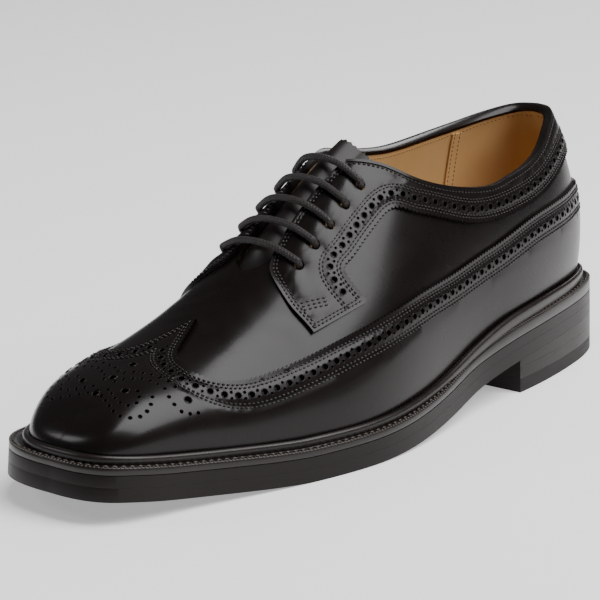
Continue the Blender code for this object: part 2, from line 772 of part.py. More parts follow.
def make_wing(material):
    """Long wing overlay: toe, both sides and round the heel in one piece."""
    steps = [k / ALONG_STEPS for k in range(ALONG_STEPS + 1)]
    feather = [(float(crowd(np.array(t))), 0.0) for t in steps]
    top = through(WING_LATERAL, 0.02)
    loop = loop_of(
        feather,
        even_sides(0.0, 1.0, 1.0),
        mirrored(feather)[::-1],
        even_sides(1.0, 1.0 - WING_LATERAL[0][1], 0.0),
        mirrored(top),
        top[::-1],
        even_sides(WING_LATERAL[0][1], 0.0, 0.0),
    )
    leather_shell("longwing_overlay", loop, material, OVERLAY_GAP, OVERLAY_LEATHER)


def make_facing(side, material):
    """Facing with its tab, and the collar band that runs back to the heel seam."""
    seam = 0.0006
    collar = COLLAR_LATERAL if side == "lateral" else COLLAR_MEDIAL
    shape = (lambda line: list(line)) if side == "lateral" else mirrored
    rear = through(shape(FACING_REAR), 0.02)
    front = shape(through(FACING_EDGE) + through(THROAT_CORNER)[1:])
    rim = [(max(u, seam), v) for u, v in through(collar)]
    rear = [(max(u, seam), v) for u, v in rear]
    loop = loop_of(rim, front, rear)
    leather_shell("facing_" + side, loop, material, OVERLAY_GAP, OVERLAY_LEATHER,
                  eyelet_holes(side))


def tongue_lift(u):
    """Level of the tongue's inner face: below the lace at the eyelets, close to
    the vamp in front of them."""
    deep = UPPER_WALL + LACE_DIAMETER + 3 * LACE_GAP + TONGUE_THICKNESS
    close = UPPER_WALL + SEAT_GAP + TONGUE_THICKNESS
    t = np.clip((u - 0.560) / 0.030, 0.0, 1.0)
    t = t * t * (3.0 - 2.0 * t)
    return -(deep + (close - deep) * t)


def make_tongue(material):
    """Tongue under the facings, from inside the vamp to above the collar's front."""
    low = 0.5 - TONGUE_HALF
    high = 0.5 + TONGUE_HALF
    loop = loop_of(
        straight((TONGUE_TOP, low), (TONGUE_FRONT, low + 0.03), 12),
        straight((TONGUE_FRONT, low + 0.03), (TONGUE_FRONT, high - 0.03), 8),
        straight((TONGUE_FRONT, high - 0.03), (TONGUE_TOP, high), 12),
        straight((TONGUE_TOP, high), (TONGUE_TOP, low), 8),
    )
    leather_shell("tongue", loop, material, tongue_lift, TONGUE_THICKNESS)


def last_spot(u, v, lift):
    """One point at a distance from the last."""
    return lifted([u], [v], np.array([lift]))[0]


def lace_route():
    """The lace's line: bar over, down an eyelet, along under, up the next one."""
    radius = LACE_DIAMETER / 2.0
    cover = OVERLAY_GAP + OVERLAY_LEATHER
    over = cover + radius + LACE_GAP
    under = -(UPPER_WALL + radius + LACE_GAP)
    bend = radius * 1.25
    route = []
    side = 1
    stations = list(EYELET_STATIONS)[::-1]
    for k, station in enumerate(stations):
        near = EYELET_ROUND if side > 0 else 1.0 - EYELET_ROUND
        far = 1.0 - near
        run, around = metric(station, near)
        turn_in = bend / around * side
        turn_on = bend / run
        last = k == len(stations) - 1
        if k == 0:
            route.append((station - turn_on * 2.5, near, under))
        route.append((station + turn_on * (0.3 if k else -0.3), near, under + bend * 0.30))
        route.append((station, near, under + bend))
        route.append((station, near, over - bend))
        route.append((station, near + turn_in * 0.3, over - bend * 0.30))
        route.append((station, near + turn_in, over))
        for share in (0.25, 0.5, 0.75):
            route.append((station, near + (far - near) * share, over + 0.0008))
        route.append((station, far - turn_in, over))
        route.append((station, far - turn_in * 0.3, over - bend * 0.30))
        route.append((station, far, over - bend))
        route.append((station, far, under + bend))
        route.append((station - turn_on * 0.3, far, under + bend * 0.30))
        route.append((station - turn_on, far, under))
        if last:
            route.append((station - turn_on * 1.5, far, under))
        else:
            following = stations[k + 1]
            route.append((following + turn_on, far, under))
        side = -side
    return to_world([last_spot(u, v, lift) for u, v, lift in route])


def make_lace(material):
    """Five straight bars of one round lace, joined under the facings."""
    curve = bpy.data.curves.new("lace", "CURVE")
    curve.dimensions = "3D"
    curve.bevel_depth = LACE_DIAMETER / 2.0
    curve.bevel_resolution = 1
    curve.use_fill_caps = True
    points = lace_route()
    spline = curve.splines.new("POLY")
    spline.points.add(len(points) - 1)
    for place, point in zip(spline.points, points):
        place.co = (point[0], point[1], point[2], 1.0)
    guide = bpy.data.objects.new("lace_line", curve)
    SHOE.objects.link(guide)
    graph = bpy.context.evaluated_depsgraph_get()
    mesh = bpy.data.meshes.new_from_object(guide.evaluated_get(graph))
    work = bmesh.new()
    work.from_mesh(mesh)
    bmesh.ops.remove_doubles(work, verts=work.verts, dist=0.00005)
    face_out(work)
    work.to_mesh(mesh)
    work.free()
    mesh.shade_smooth()
    bpy.data.objects.remove(guide)
    lace = bpy.data.objects.new("lace", mesh)
    lace.data.materials.clear()
    lace.data.materials.append(material)
    SHOE.objects.link(lace)


def make_material(name, colour, roughness):
    """A leather-like Principled material."""
    material = bpy.data.materials.new(name)
    material.use_nodes = True
    shader = material.node_tree.nodes["Principled BSDF"]
    shader.inputs["Base Color"].default_value = (*colour, 1.0)
    shader.inputs["Roughness"].default_value = roughness
    shader.inputs["Metallic"].default_value = 0.0
    return material


def build():
    """Build every piece of the shoe."""
    polished = (0.012, 0.008, 0.006)
    edge = (0.045, 0.032, 0.025)
    leather = {name: make_material(name, polished, 0.22) for name in (
        "vamp_leather", "wing_leather", "facing_leather", "tongue_leather")}
    sole_layer("outsole", 0.0, OUTSOLE_THICKNESS,
               make_material("outsole_leather", edge, 0.45))
    sole_layer("midsole", OUTSOLE_THICKNESS + SEAT_GAP, MIDSOLE_THICKNESS,
               make_material("midsole_leather", edge, 0.45))
    make_heel(make_material("heel_leather", edge, 0.45),
              make_material("top_lift_rubber", (0.02, 0.018, 0.016), 0.60))
    make_welt(make_material("welt_leather", (0.02, 0.013, 0.010), 0.40))
    make_insole(make_material("insole_leather", (0.45, 0.24, 0.09), 0.55))
    make_upper(leather["vamp_leather"])
    make_wing(leather["wing_leather"])
    make_facing("lateral", leather["facing_leather"])
    make_facing("medial", leather["facing_leather"])
    make_tongue(leather["tongue_leather"])
    make_lace(make_material("waxed_lace", (0.010, 0.007, 0.006), 0.55))


for old in list(bpy.data.objects):
    bpy.data.objects.remove(old, do_unlink=True)
SHOE = bpy.data.collections.new(COLLECTION_NAME)
bpy.context.scene.collection.children.link(SHOE)
build()
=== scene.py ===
"""Looks of the longwing brogue: leathers, lining, stitching, punching, lace and light.

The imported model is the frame.  Every piece is in metres in its frame: toe toward -Y,
outer side of the foot toward +X, floor at Z = 0.
"""

from __future__ import annotations

import logging
import math
from collections.abc import Callable, Sequence
from dataclasses import dataclass, field
from enum import Enum

import bmesh
import bpy
import numpy as np
from mathutils import Matrix, Vector
from mathutils.geometry import delaunay_2d_cdt
from mathutils.kdtree import KDTree

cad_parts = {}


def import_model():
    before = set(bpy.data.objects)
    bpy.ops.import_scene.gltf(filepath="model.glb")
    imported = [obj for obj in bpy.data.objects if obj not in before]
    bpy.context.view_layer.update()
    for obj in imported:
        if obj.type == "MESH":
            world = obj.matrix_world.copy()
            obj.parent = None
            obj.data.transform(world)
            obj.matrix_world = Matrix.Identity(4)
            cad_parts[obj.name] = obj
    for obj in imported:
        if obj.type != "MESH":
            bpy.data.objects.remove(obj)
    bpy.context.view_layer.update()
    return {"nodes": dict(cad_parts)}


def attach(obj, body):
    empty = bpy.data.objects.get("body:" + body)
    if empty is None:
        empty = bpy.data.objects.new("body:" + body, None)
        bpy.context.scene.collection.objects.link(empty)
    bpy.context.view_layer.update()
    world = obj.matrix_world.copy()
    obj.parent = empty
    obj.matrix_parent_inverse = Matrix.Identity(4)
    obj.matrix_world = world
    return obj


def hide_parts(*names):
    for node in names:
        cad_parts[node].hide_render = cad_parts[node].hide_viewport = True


LOG = logging.getLogger("longwing_brogue")
ROOT = "root"
MM = 0.001

# Driving sizes, the same as the solids'
SOLE_LENGTH = 0.310
BALL_WIDTH = 0.113
HEEL_HEIGHT = 0.0166
TOE_SPRING = 0.0094
LAST_HEIGHT = 0.1004
OUTSOLE_THICKNESS = 0.0052
MIDSOLE_THICKNESS = 0.0043
WELT_FORE = 0.0028
WELT_HEEL = 0.0048
LIP_FORE = 0.0034
LIP_HEEL = 0.0056
LIP_WIDTH = 0.0026
WELT_UNDERLAP = 0.0095
HEEL_LENGTH = 0.083
TOP_LIFT_THICKNESS = 0.0058
LIFT_THICKNESS = 0.0048
UPPER_WALL = 0.0020
OVERLAY_LEATHER = 0.0012
LACE_DIAMETER = 0.0024
EYELET_DIAMETER = 0.0044
SEAT_GAP = 0.0003
OVERLAY_GAP = 0.0005
LACE_GAP = 0.0003
TONGUE_THICKNESS = 0.0022

# An overlay is drawn down into its gap, so that no light passes under it
OVERLAY_FOOT = OVERLAY_GAP * 0.3
OVERLAY_THICKNESS = OVERLAY_GAP * 0.7 + OVERLAY_LEATHER
OVERLAY_TOP = OVERLAY_GAP + OVERLAY_LEATHER

# Steps along pattern lines: for rows, for the dents under stitches and for plain edges
ROW_STEP = 1.2 * MM
DENT_STEP = 0.9 * MM
EDGE_STEP = 1.5 * MM

# Rough size of the pattern laid flat, so that distances in it are near real ones
FLAT = np.array([SOLE_LENGTH, 0.55 * SOLE_LENGTH])

LATERAL_EDGE = (
    (0.000, 0.000), (-0.003, 0.137), (0.045, 0.235), (0.123, 0.296), (0.200, 0.341),
    (0.284, 0.367), (0.355, 0.372), (0.426, 0.420), (0.516, 0.478), (0.600, 0.500),
    (0.690, 0.460), (0.768, 0.403), (0.832, 0.350), (0.890, 0.305), (0.955, 0.270),
    (1.003, 0.186), (1.000, 0.004),
)
MEDIAL_EDGE = (
    (0.000, 0.000), (-0.003, -0.146), (0.039, -0.252), (0.110, -0.292), (0.187, -0.292),
    (0.271, -0.265), (0.342, -0.208), (0.432, -0.195), (0.523, -0.292), (0.606, -0.425),
    (0.690, -0.500), (0.774, -0.487), (0.845, -0.451), (0.903, -0.398), (0.968, -0.319),
    (1.003, -0.164), (1.000, 0.004),
)
UNDERSIDE = (
    (-0.01, 1.000, 0.0), (0.10, 0.976, 0.0), (0.19, 0.934, 0.0), (0.27, 0.825, 0.0),
    (0.355, 0.580, 0.0), (0.435, 0.295, 0.0), (0.516, 0.108, 0.0), (0.597, 0.018, 0.0),
    (0.655, 0.0, 0.0), (0.715, 0.0, 0.0), (0.755, 0.0, 0.080), (0.823, 0.0, 0.290),
    (0.903, 0.0, 0.590), (0.968, 0.0, 0.905), (1.01, 0.0, 1.060),
)
LAST_SECTIONS = (
    (0.013, 0.000, 0.000, 0.000, 0.000, 0.000, 0.802, 0.86, 0.62, 0.60, 0.94),
    (0.013, 0.122, -0.131, 0.018, -0.018, 0.000, 0.802, 0.86, 0.62, 0.60, 0.94),
    (0.052, 0.194, -0.199, 0.031, -0.031, -0.004, 0.814, 0.86, 0.62, 0.60, 0.94),
    (0.135, 0.259, -0.234, 0.035, -0.035, 0.000, 0.839, 0.86, 0.62, 0.60, 0.94),
    (0.242, 0.311, -0.221, 0.022, -0.027, 0.000, 0.874, 0.84, 0.62, 0.58, 0.94),
    (0.339, 0.332, -0.159, 0.022, -0.044, -0.009, 0.919, 0.80, 0.62, 0.54, 0.94),
    (0.435, 0.369, -0.150, 0.027, -0.071, -0.018, 1.000, 0.76, 0.62, 0.48, 0.95),
    (0.526, 0.425, -0.245, 0.018, -0.062, -0.027, 0.858, 0.76, 0.62, 0.44, 0.95),
    (0.613, 0.437, -0.345, 0.009, -0.027, -0.027, 0.660, 0.80, 0.64, 0.44, 0.95),
    (0.694, 0.389, -0.419, 0.009, -0.013, -0.027, 0.478, 0.84, 0.66, 0.46, 0.96),
    (0.768, 0.327, -0.413, 0.009, -0.009, -0.027, 0.364, 0.88, 0.70, 0.48, 0.97),
    (0.839, 0.276, -0.391, 0.009, -0.009, -0.022, 0.279, 0.92, 0.74, 0.50, 0.98),
    (0.897, 0.230, -0.322, 0.009, -0.009, -0.018, 0.239, 0.94, 0.71, 0.50, 0.95),
    (0.955, 0.189, -0.201, 0.009, -0.009, -0.009, 0.182, 0.96, 0.62, 0.50, 0.88),
    (0.971, 0.111, -0.111, 0.004, -0.004, 0.000, 0.172, 1.00, 0.50, 0.55, 0.87),
    (0.971, 0.000, 0.000, 0.000, 0.000, 0.000, 0.169, 1.00, 0.50, 0.60, 0.88),
)
HEEL_LEAN = (0.0211, 0.0100, 0.0177, 0.0490, 0.0619)
HEEL_LEAN_SECTIONS = (1.0, 1.0, 0.8, 0.4, 0.1)
TOE_LEAN = (-0.0026, -0.0026, 0.0160, 0.0420, 0.0580)
TOE_LEAN_SECTIONS = (1.0, 1.05, 0.75, 0.3)
FEATHER_BLEND = 0.14

# Pattern lines: (share from heel to toe, share round from lateral to medial feather)
COLLAR_LATERAL = (
    (0.000, 0.350), (0.034, 0.338), (0.100, 0.288), (0.149, 0.240), (0.189, 0.212),
    (0.230, 0.198), (0.266, 0.193), (0.311, 0.208), (0.353, 0.235), (0.384, 0.275),
    (0.411, 0.345), (0.431, 0.417),
)
COLLAR_MEDIAL = (
    (0.000, 0.650), (0.034, 0.660), (0.094, 0.690), (0.169, 0.722), (0.240, 0.735),
    (0.316, 0.728), (0.373, 0.697), (0.405, 0.645), (0.431, 0.583),
)
FACING_EDGE = (
    (0.431, 0.417), (0.450, 0.430), (0.487, 0.440), (0.524, 0.437), (0.551, 0.425),
)
THROAT_CORNER = (
    (0.551, 0.425), (0.570, 0.390), (0.584, 0.285), (0.580, 0.190),
)
TAB_END = ((0.580, 0.190), (0.541, 0.175), (0.503, 0.160))
TACK_ROW = ((0.572, 0.262), (0.560, 0.247), (0.548, 0.232))
FACING_REAR = (
    (0.503, 0.160), (0.511, 0.215), (0.508, 0.245), (0.490, 0.246), (0.455, 0.250),
    (0.420, 0.246), (0.386, 0.203), (0.330, 0.158), (0.284, 0.138), (0.233, 0.135),
    (0.171, 0.150), (0.084, 0.200), (0.040, 0.216), (0.000, 0.222),
)
WING_LATERAL = (
    (0.000, 0.137), (0.080, 0.132), (0.121, 0.125), (0.197, 0.113), (0.254, 0.100),
    (0.290, 0.095), (0.363, 0.092), (0.437, 0.105), (0.503, 0.122), (0.560, 0.140),
    (0.616, 0.155), (0.689, 0.177), (0.731, 0.230), (0.746, 0.310), (0.729, 0.415),
    (0.656, 0.500),
)
MEDALLION_HUBS = ((0.869, 0.370), (0.783, 0.190), (0.844, 0.500), (0.782, 0.500), (0.940, 0.500))
MEDALLION_ARCS = (
    ((0.893, 0.450), (0.903, 0.390), (0.903, 0.345), (0.896, 0.288), (0.877, 0.263),
     (0.860, 0.283), (0.849, 0.328)),
    ((0.938, 0.440), (0.936, 0.350), (0.926, 0.268), (0.911, 0.217), (0.893, 0.198),
     (0.877, 0.190), (0.861, 0.203), (0.849, 0.225), (0.836, 0.260)),
    ((0.809, 0.230), (0.809, 0.193), (0.804, 0.158), (0.793, 0.140), (0.777, 0.133)),
    ((0.804, 0.275), (0.806, 0.318), (0.810, 0.357), (0.817, 0.395), (0.829, 0.427),
     (0.841, 0.453), (0.857, 0.468)),
    ((0.786, 0.263), (0.786, 0.305), (0.789, 0.345), (0.793, 0.385), (0.799, 0.420),
     (0.804, 0.458), (0.814, 0.485)),
)
THROAT_END = 0.578
TONGUE_TOP = 0.408
TONGUE_FRONT = 0.615
TONGUE_HALF = 0.150
# Strap over the lining's join: its place, half width, ends and the two rows on it
STRAP_PLACE = 0.166
STRAP_HALF = 0.009
STRAP_ENDS = (0.742, 0.930)
STRAP_ROW = 0.005
EYELET_STATIONS = (0.441, 0.467, 0.493, 0.519, 0.546)
EYELET_ROUND = 0.335


class Side(Enum):
    """The two sides of the foot."""

    LATERAL = "lateral"
    MEDIAL = "medial"


def clipped(value: np.ndarray) -> np.ndarray:
    """Keep a share between 0 and 1."""
    return np.clip(value, 0.0, 1.0)


def smooth(share: np.ndarray) -> np.ndarray:
    """Ease a share in and out."""
    return share * share * (3.0 - 2.0 * share)


def spline_basis(count: int, places: np.ndarray) -> np.ndarray:
    """Basis values of a clamped uniform cubic B-spline.

    Args:
        count: how many control points the spline has.
        places: shares along it, 0 to 1.

    Returns:
        One row of weights for each place.
    """
    places = np.clip(np.asarray(places, float), 0.0, 1.0 - 1e-9)
    knots = np.r_[np.zeros(3), np.linspace(0.0, 1.0, count - 2), np.ones(3)]
    values = [((places >= a) & (places < b)).astype(float) for a, b in zip(knots, knots[1:])]
    for degree in (1, 2, 3):
        raised = []
        for i in range(len(values) - 1):
            left = knots[i + degree] - knots[i]
            right = knots[i + degree + 1] - knots[i + 1]
            total = np.zeros_like(places)
            if left > 0:
                total = total + (places - knots[i]) / left * values[i]
            if right > 0:
                total = total + (knots[i + degree + 1] - places) / right * values[i + 1]
            raised.append(total)
        values = raised
    return np.stack(values, -1)


class SoleForm:
    """Edge lines and layer heights of the sole, y counted from the heel's back."""

    def __init__(self) -> None:
        """Read the tables and find the middle of the sole's box."""
        table = np.array(UNDERSIDE)
        self.stations = table[:, 0] * SOLE_LENGTH
        self.heights = table[:, 1] * HEEL_HEIGHT + table[:, 2] * TOE_SPRING
        self.tangents = np.gradient(self.heights, self.stations)
        places = np.linspace(0.0, 1.0, 801)
        edges = np.vstack([self.edge(side, places) for side in Side])
        self.shift = (edges.min(axis=0) + edges.max(axis=0)) / 2.0

    def edge(self, side: Side, places: np.ndarray) -> np.ndarray:
        """Points (x, y) of one edge line."""
        table = LATERAL_EDGE if side is Side.LATERAL else MEDIAL_EDGE
        points = np.array([(x * BALL_WIDTH, y * SOLE_LENGTH) for y, x in table])
        return spline_basis(len(points), places) @ points

    def underside(self, y: np.ndarray) -> tuple[np.ndarray, np.ndarray]:
        """Height of the sole's underside over the floor, and its slope."""
        y = np.clip(y, self.stations[0], self.stations[-1])
        i = np.clip(np.searchsorted(self.stations, y) - 1, 0, len(self.stations) - 2)
        span = self.stations[i + 1] - self.stations[i]
        t = (y - self.stations[i]) / span
        rise = self.heights[i + 1] - self.heights[i]
        a = self.tangents[i] * span - rise
        b = -self.tangents[i + 1] * span + rise
        height = self.heights[i] + rise * t + t * (1 - t) * (a * (1 - t) + b * t)
        slope = (rise + (1 - 2 * t) * (a * (1 - t) + b * t) + t * (1 - t) * (b - a)) / span
        return np.maximum(height, 0.0), np.where(height > 0.0, slope, 0.0)

    def deck(self, y: np.ndarray, depth: np.ndarray | float) -> np.ndarray:
        """Height of a layer that lies depth above the underside."""
        height, slope = self.underside(y)
        return height + depth * np.sqrt(1.0 + slope ** 2)

    def leaned(self, xy: np.ndarray, depth: np.ndarray | float) -> np.ndarray:
        """Edge points leaned with the toe spring, so that the edge stays square."""
        return np.c_[xy[:, 0], xy[:, 1] - depth * self.underside(xy[:, 1])[1]]

    @staticmethod
    def along_blend(y: np.ndarray, fore: float, heel: float) -> np.ndarray:
        """A size that changes from heel to forepart over the waist."""
        share = clipped((y / SOLE_LENGTH - 0.27) / 0.21)
        return heel + (fore - heel) * share * share * (3.0 - 2.0 * share)

    def welt_top(self, y: np.ndarray) -> np.ndarray:
        """Height of the welt's shelf."""
        stack = OUTSOLE_THICKNESS + MIDSOLE_THICKNESS + 2 * SEAT_GAP
        return self.deck(y, stack + self.along_blend(y, WELT_FORE, WELT_HEEL))

    def to_frame(self, points: np.ndarray) -> np.ndarray:
        """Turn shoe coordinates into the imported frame's."""
        points = np.asarray(points, float)
        shifted = [points[..., 0] - self.shift[0], self.shift[1] - points[..., 1], points[..., 2]]
        return np.stack(shifted, -1)

    def ring(self, count: int, reach: float = 1.0) -> np.ndarray:
        """The edge once round: out along the lateral side and back on the medial.

        Args:
            count: points on each side.
            reach: share of each edge line that is used, from the heel.

        Returns:
            Points (x, y).
        """
        t = np.linspace(0.0, 1.0, count)
        t = (t - 0.7 * np.sin(2 * np.pi * t) / (2 * np.pi)) * reach
        return np.vstack([self.edge(Side.LATERAL, t), self.edge(Side.MEDIAL, t)[-2:0:-1]])


class LastForm:
    """The last's surface, which every leather piece lies on."""

    def __init__(self, sole: SoleForm) -> None:
        """Work out the control net from the table of sections."""
        self.sole = sole
        net = np.zeros((len(LAST_SECTIONS), 9, 3))
        for i, row in enumerate(LAST_SECTIONS):
            (station, lateral, medial, bulge_l, bulge_m, ridge, height,
             side, side_height, shoulder, shoulder_height) = row
            y = station * SOLE_LENGTH
            base = float(sole.welt_top(np.array([y]))[0]) + SEAT_GAP
            tall = height * LAST_HEIGHT
            ridge_x = ridge * BALL_WIDTH
            for feather, bulge, places in ((lateral, bulge_l, (0, 1, 2, 3)),
                                           (medial, bulge_m, (8, 7, 6, 5))):
                feather_x = feather * BALL_WIDTH
                out = bulge * BALL_WIDTH
                width = feather_x - ridge_x
                net[i, places[0]] = (feather_x, y, base)
                net[i, places[1]] = (feather_x + out, y, base + 0.30 * tall)
                net[i, places[2]] = (ridge_x + width * side + 0.4 * out, y,
                                     base + side_height * tall)
                net[i, places[3]] = (ridge_x + width * shoulder, y,
                                     base + shoulder_height * tall)
            net[i, 4] = (ridge_x, y, base + tall)
        heel = np.array(HEEL_LEAN + HEEL_LEAN[-2::-1]) * SOLE_LENGTH
        toe = np.array(TOE_LEAN + TOE_LEAN[-2::-1]) * SOLE_LENGTH
        for i, share in enumerate(HEEL_LEAN_SECTIONS):
            net[i, :, 1] += heel * share
        for i, share in enumerate(TOE_LEAN_SECTIONS):
            net[-1 - i, :, 1] -= toe * share
        self.net = net

    def point(self, u: np.ndarray, v: np.ndarray) -> np.ndarray:
        """Points of the surface, its feather line laid on the welt."""
        u = np.asarray(u, float)
        v = np.asarray(v, float)
        along = spline_basis(self.net.shape[0], u)
        around = spline_basis(self.net.shape[1], v)
        point = np.einsum("ni,nj,ijk->nk", along, around, self.net, optimize=True)
        edge_v = np.where(v < 0.5, 0.0, 1.0)
        edge_around = spline_basis(self.net.shape[1], edge_v)
        edge = np.einsum("ni,nj,ijk->nk", along, edge_around, self.net, optimize=True)
        near = smooth(clipped(1.0 - np.abs(v - edge_v) / FEATHER_BLEND))
        point[:, 2] += near * (self.sole.welt_top(edge[:, 1]) + SEAT_GAP - edge[:, 2])
        return point

    def tangents(self, u: np.ndarray, v: np.ndarray) -> tuple[np.ndarray, np.ndarray]:
        """Change of place for one share along, and for one share round."""
        step = 0.0015
        u = np.clip(np.asarray(u, float), step * 2, 1.0 - step * 2)
        v = np.clip(np.asarray(v, float), step, 1.0 - step)
        along = (self.point(u + step, v) - self.point(u - step, v)) / (2 * step)
        around = (self.point(u, v + step) - self.point(u, v - step)) / (2 * step)
        return along, around

    def normal(self, u: np.ndarray, v: np.ndarray) -> np.ndarray:
        """Outward normals."""
        u = np.asarray(u, float)
        along, around = self.tangents(u, v)
        normal = np.cross(along, around)
        normal[(u < 1e-6) | (u > 1.0 - 1e-6), 0] = 0.0
        return normal / np.linalg.norm(normal, axis=1)[:, None]

    def lifted(self, u: np.ndarray, v: np.ndarray, lift: np.ndarray | float) -> np.ndarray:
        """Points at a distance from the surface, never lower than the welt allows."""
        lift = np.broadcast_to(np.asarray(lift, float), np.shape(u))
        point = self.point(u, v) + self.normal(u, v) * lift[:, None]
        point[:, 2] = np.maximum(point[:, 2], self.sole.welt_top(point[:, 1]) + 0.2 * MM)
        return point

    def moved(self, line: np.ndarray, distance: float) -> np.ndarray:
        """A pattern line moved sideways on the surface by a real distance.

        Args:
            line: pattern points in order.
            distance: metres, to the left of the line seen from outside.

        Returns:
            Pattern points of the moved line.
        """
        line = np.asarray(line, float)
        along, around = self.tangents(line[:, 0], line[:, 1])
        run = np.gradient(line, axis=0)
        way = along * run[:, :1] + around * run[:, 1:]
        way /= np.linalg.norm(way, axis=1)[:, None] + 1e-12
        out = np.cross(along, around)
        out /= np.linalg.norm(out, axis=1)[:, None]
        sideways = np.cross(out, way) * distance
        e = (along * along).sum(1)
        f = (along * around).sum(1)
        g = (around * around).sum(1)
        p = (sideways * along).sum(1)
        q = (sideways * around).sum(1)
        det = e * g - f * f + 1e-18
        return line + np.c_[(p * g - q * f) / det, (q * e - p * f) / det]

    def spaced(self, line: np.ndarray, spacing: float) -> np.ndarray:
        """A pattern line read again at an even real spacing."""
        line = np.asarray(line, float)
        dense = np.vstack([line[i] + (line[i + 1] - line[i]) * np.linspace(0, 1, 12)[:-1, None]
                           for i in range(len(line) - 1)] + [line[-1:]])
        place = self.point(dense[:, 0], dense[:, 1])
        length = np.r_[0.0, np.cumsum(np.linalg.norm(np.diff(place, axis=0), axis=1))]
        count = max(2, round(length[-1] / spacing) + 1)
        at = np.linspace(0.0, length[-1], count)
        return np.c_[np.interp(at, length, dense[:, 0]), np.interp(at, length, dense[:, 1])]


SOLE = SoleForm()
LAST = LastForm(SOLE)


def through(points: Sequence[tuple[float, float]], steps: int = 12) -> np.ndarray:
    """A smooth line through pattern points."""
    table = np.array(points, float)
    guide = np.vstack([2 * table[0] - table[1], table, 2 * table[-1] - table[-2]])
    line = []
    for i in range(len(table) - 1):
        a, b, c, d = guide[i:i + 4]
        for t in np.linspace(0.0, 1.0, steps, endpoint=False):
            line.append(0.5 * (2 * b + (c - a) * t + (2 * a - 5 * b + 4 * c - d) * t * t
                               + (3 * b - a - 3 * c + d) * t ** 3))
    line.append(table[-1])
    return np.array(line)


def mirrored(line: np.ndarray) -> np.ndarray:
    """The same pattern line on the other side of the foot."""
    line = np.asarray(line, float)
    return np.c_[line[:, 0], 1.0 - line[:, 1]]


def pinked(line: np.ndarray, side: float, pitch: float = 2.0 * MM,
           depth: float = 0.9 * MM) -> np.ndarray:
    """A pattern line cut with pinking teeth.

    Args:
        line: pattern points of the clean edge.
        side: +1 or -1, which side the teeth point to.
        pitch: distance between two teeth.
        depth: height of a tooth.

    Returns:
        The toothed line with the same ends.
    """
    even = LAST.spaced(line, pitch / 2.0)
    tips = LAST.moved(even, depth * side)
    result = even.copy()
    result[1:-1:2] = tips[1:-1:2]
    return result


def crowd(t: np.ndarray) -> np.ndarray:
    """Share along the last for an even step, closer together at heel and toe."""
    return t - 0.6 * np.sin(2 * np.pi * t) / (2 * np.pi)


CROWD_TABLE = np.linspace(0.0, 1.0, 4001)


def uncrowd(u: np.ndarray) -> np.ndarray:
    """Even step for a share along the last."""
    return np.interp(u, crowd(CROWD_TABLE), CROWD_TABLE)


def inside(points: np.ndarray, loop: np.ndarray) -> np.ndarray:
    """Which points lie inside a closed loop."""
    result = np.zeros(len(points), bool)
    for (ax, ay), (bx, by) in zip(loop, np.roll(loop, -1, axis=0)):
        crosses = (ay > points[:, 1]) != (by > points[:, 1])
        if crosses.any():
            reach = (bx - ax) * (points[:, 1] - ay) / (by - ay + 1e-18) + ax
            result ^= crosses & (points[:, 0] < reach)
    return result


def in_piece(points: np.ndarray, rings: Sequence[np.ndarray]) -> np.ndarray:
    """Which points lie inside the first ring and outside the others."""
    good = inside(points, rings[0])
    for ring in rings[1:]:
        near = good & (points > ring.min(0)).all(1) & (points < ring.max(0)).all(1)
        spot = np.where(near)[0]
        if len(spot):
            good[spot] &= ~inside(points[spot], ring)
    return good


def near_tree(points: np.ndarray) -> KDTree:
    """A search tree over places, flat ones at height 0."""
    tree = KDTree(len(points))
    for i, place in enumerate(np.c_[points, np.zeros((len(points), 3 - points.shape[1]))]):
        tree.insert(place, i)
    tree.balance()
    return tree


def chained(lines: Sequence[np.ndarray], closed: bool) -> list[tuple[int, int]]:
    """Edges along lines of points, and back to each one's start if closed."""
    edges = []
    first = 0
    for line in lines:
        count = len(line)
        steps = count if closed else count - 1
        edges += [(first + k, first + (k + 1) % count) for k in range(steps)]
        first += count
    return edges


def sheet_faces(rings: int, size: int, closed: bool = False) -> list[tuple[int, ...]]:
    """Faces between rings of equal size, and from the last to the first if closed."""
    faces = []
    total = rings * size
    for k in range(rings if closed else rings - 1):
        for j in range(size):
            a, b = k * size + j, k * size + (j + 1) % size
            faces.append((a, b, (b + size) % total, (a + size) % total))
    return faces


def tube_faces(rings: int, size: int) -> list[tuple[int, ...]]:
    """Faces of a tube whose two ends are closed."""
    ends = [tuple(range(size)), tuple(rings * size - 1 - j for j in range(size))]
    return sheet_faces(rings, size) + ends


def outward(ring: np.ndarray) -> np.ndarray:
    """Unit directions out of a closed ring of points (x, y)."""
    run = np.roll(ring, -1, axis=0) - np.roll(ring, 1, axis=0)
    side = np.c_[run[:, 1], -run[:, 0]]
    side /= np.linalg.norm(side, axis=1)[:, None] + 1e-12
    return side * np.sign(((ring - ring.mean(0)) * side).sum())


def linked(name: str, data: bpy.types.ID) -> bpy.types.Object:
    """A new object in the scene."""
    thing = bpy.data.objects.new(name, data)
    bpy.context.scene.collection.objects.link(thing)
    return thing


def face_out(work: bmesh.types.BMesh) -> None:
    """Turn every face of a closed mesh outward."""
    bmesh.ops.recalc_face_normals(work, faces=work.faces)
    if work.calc_volume(signed=True) < 0.0:
        bmesh.ops.reverse_faces(work, faces=work.faces)


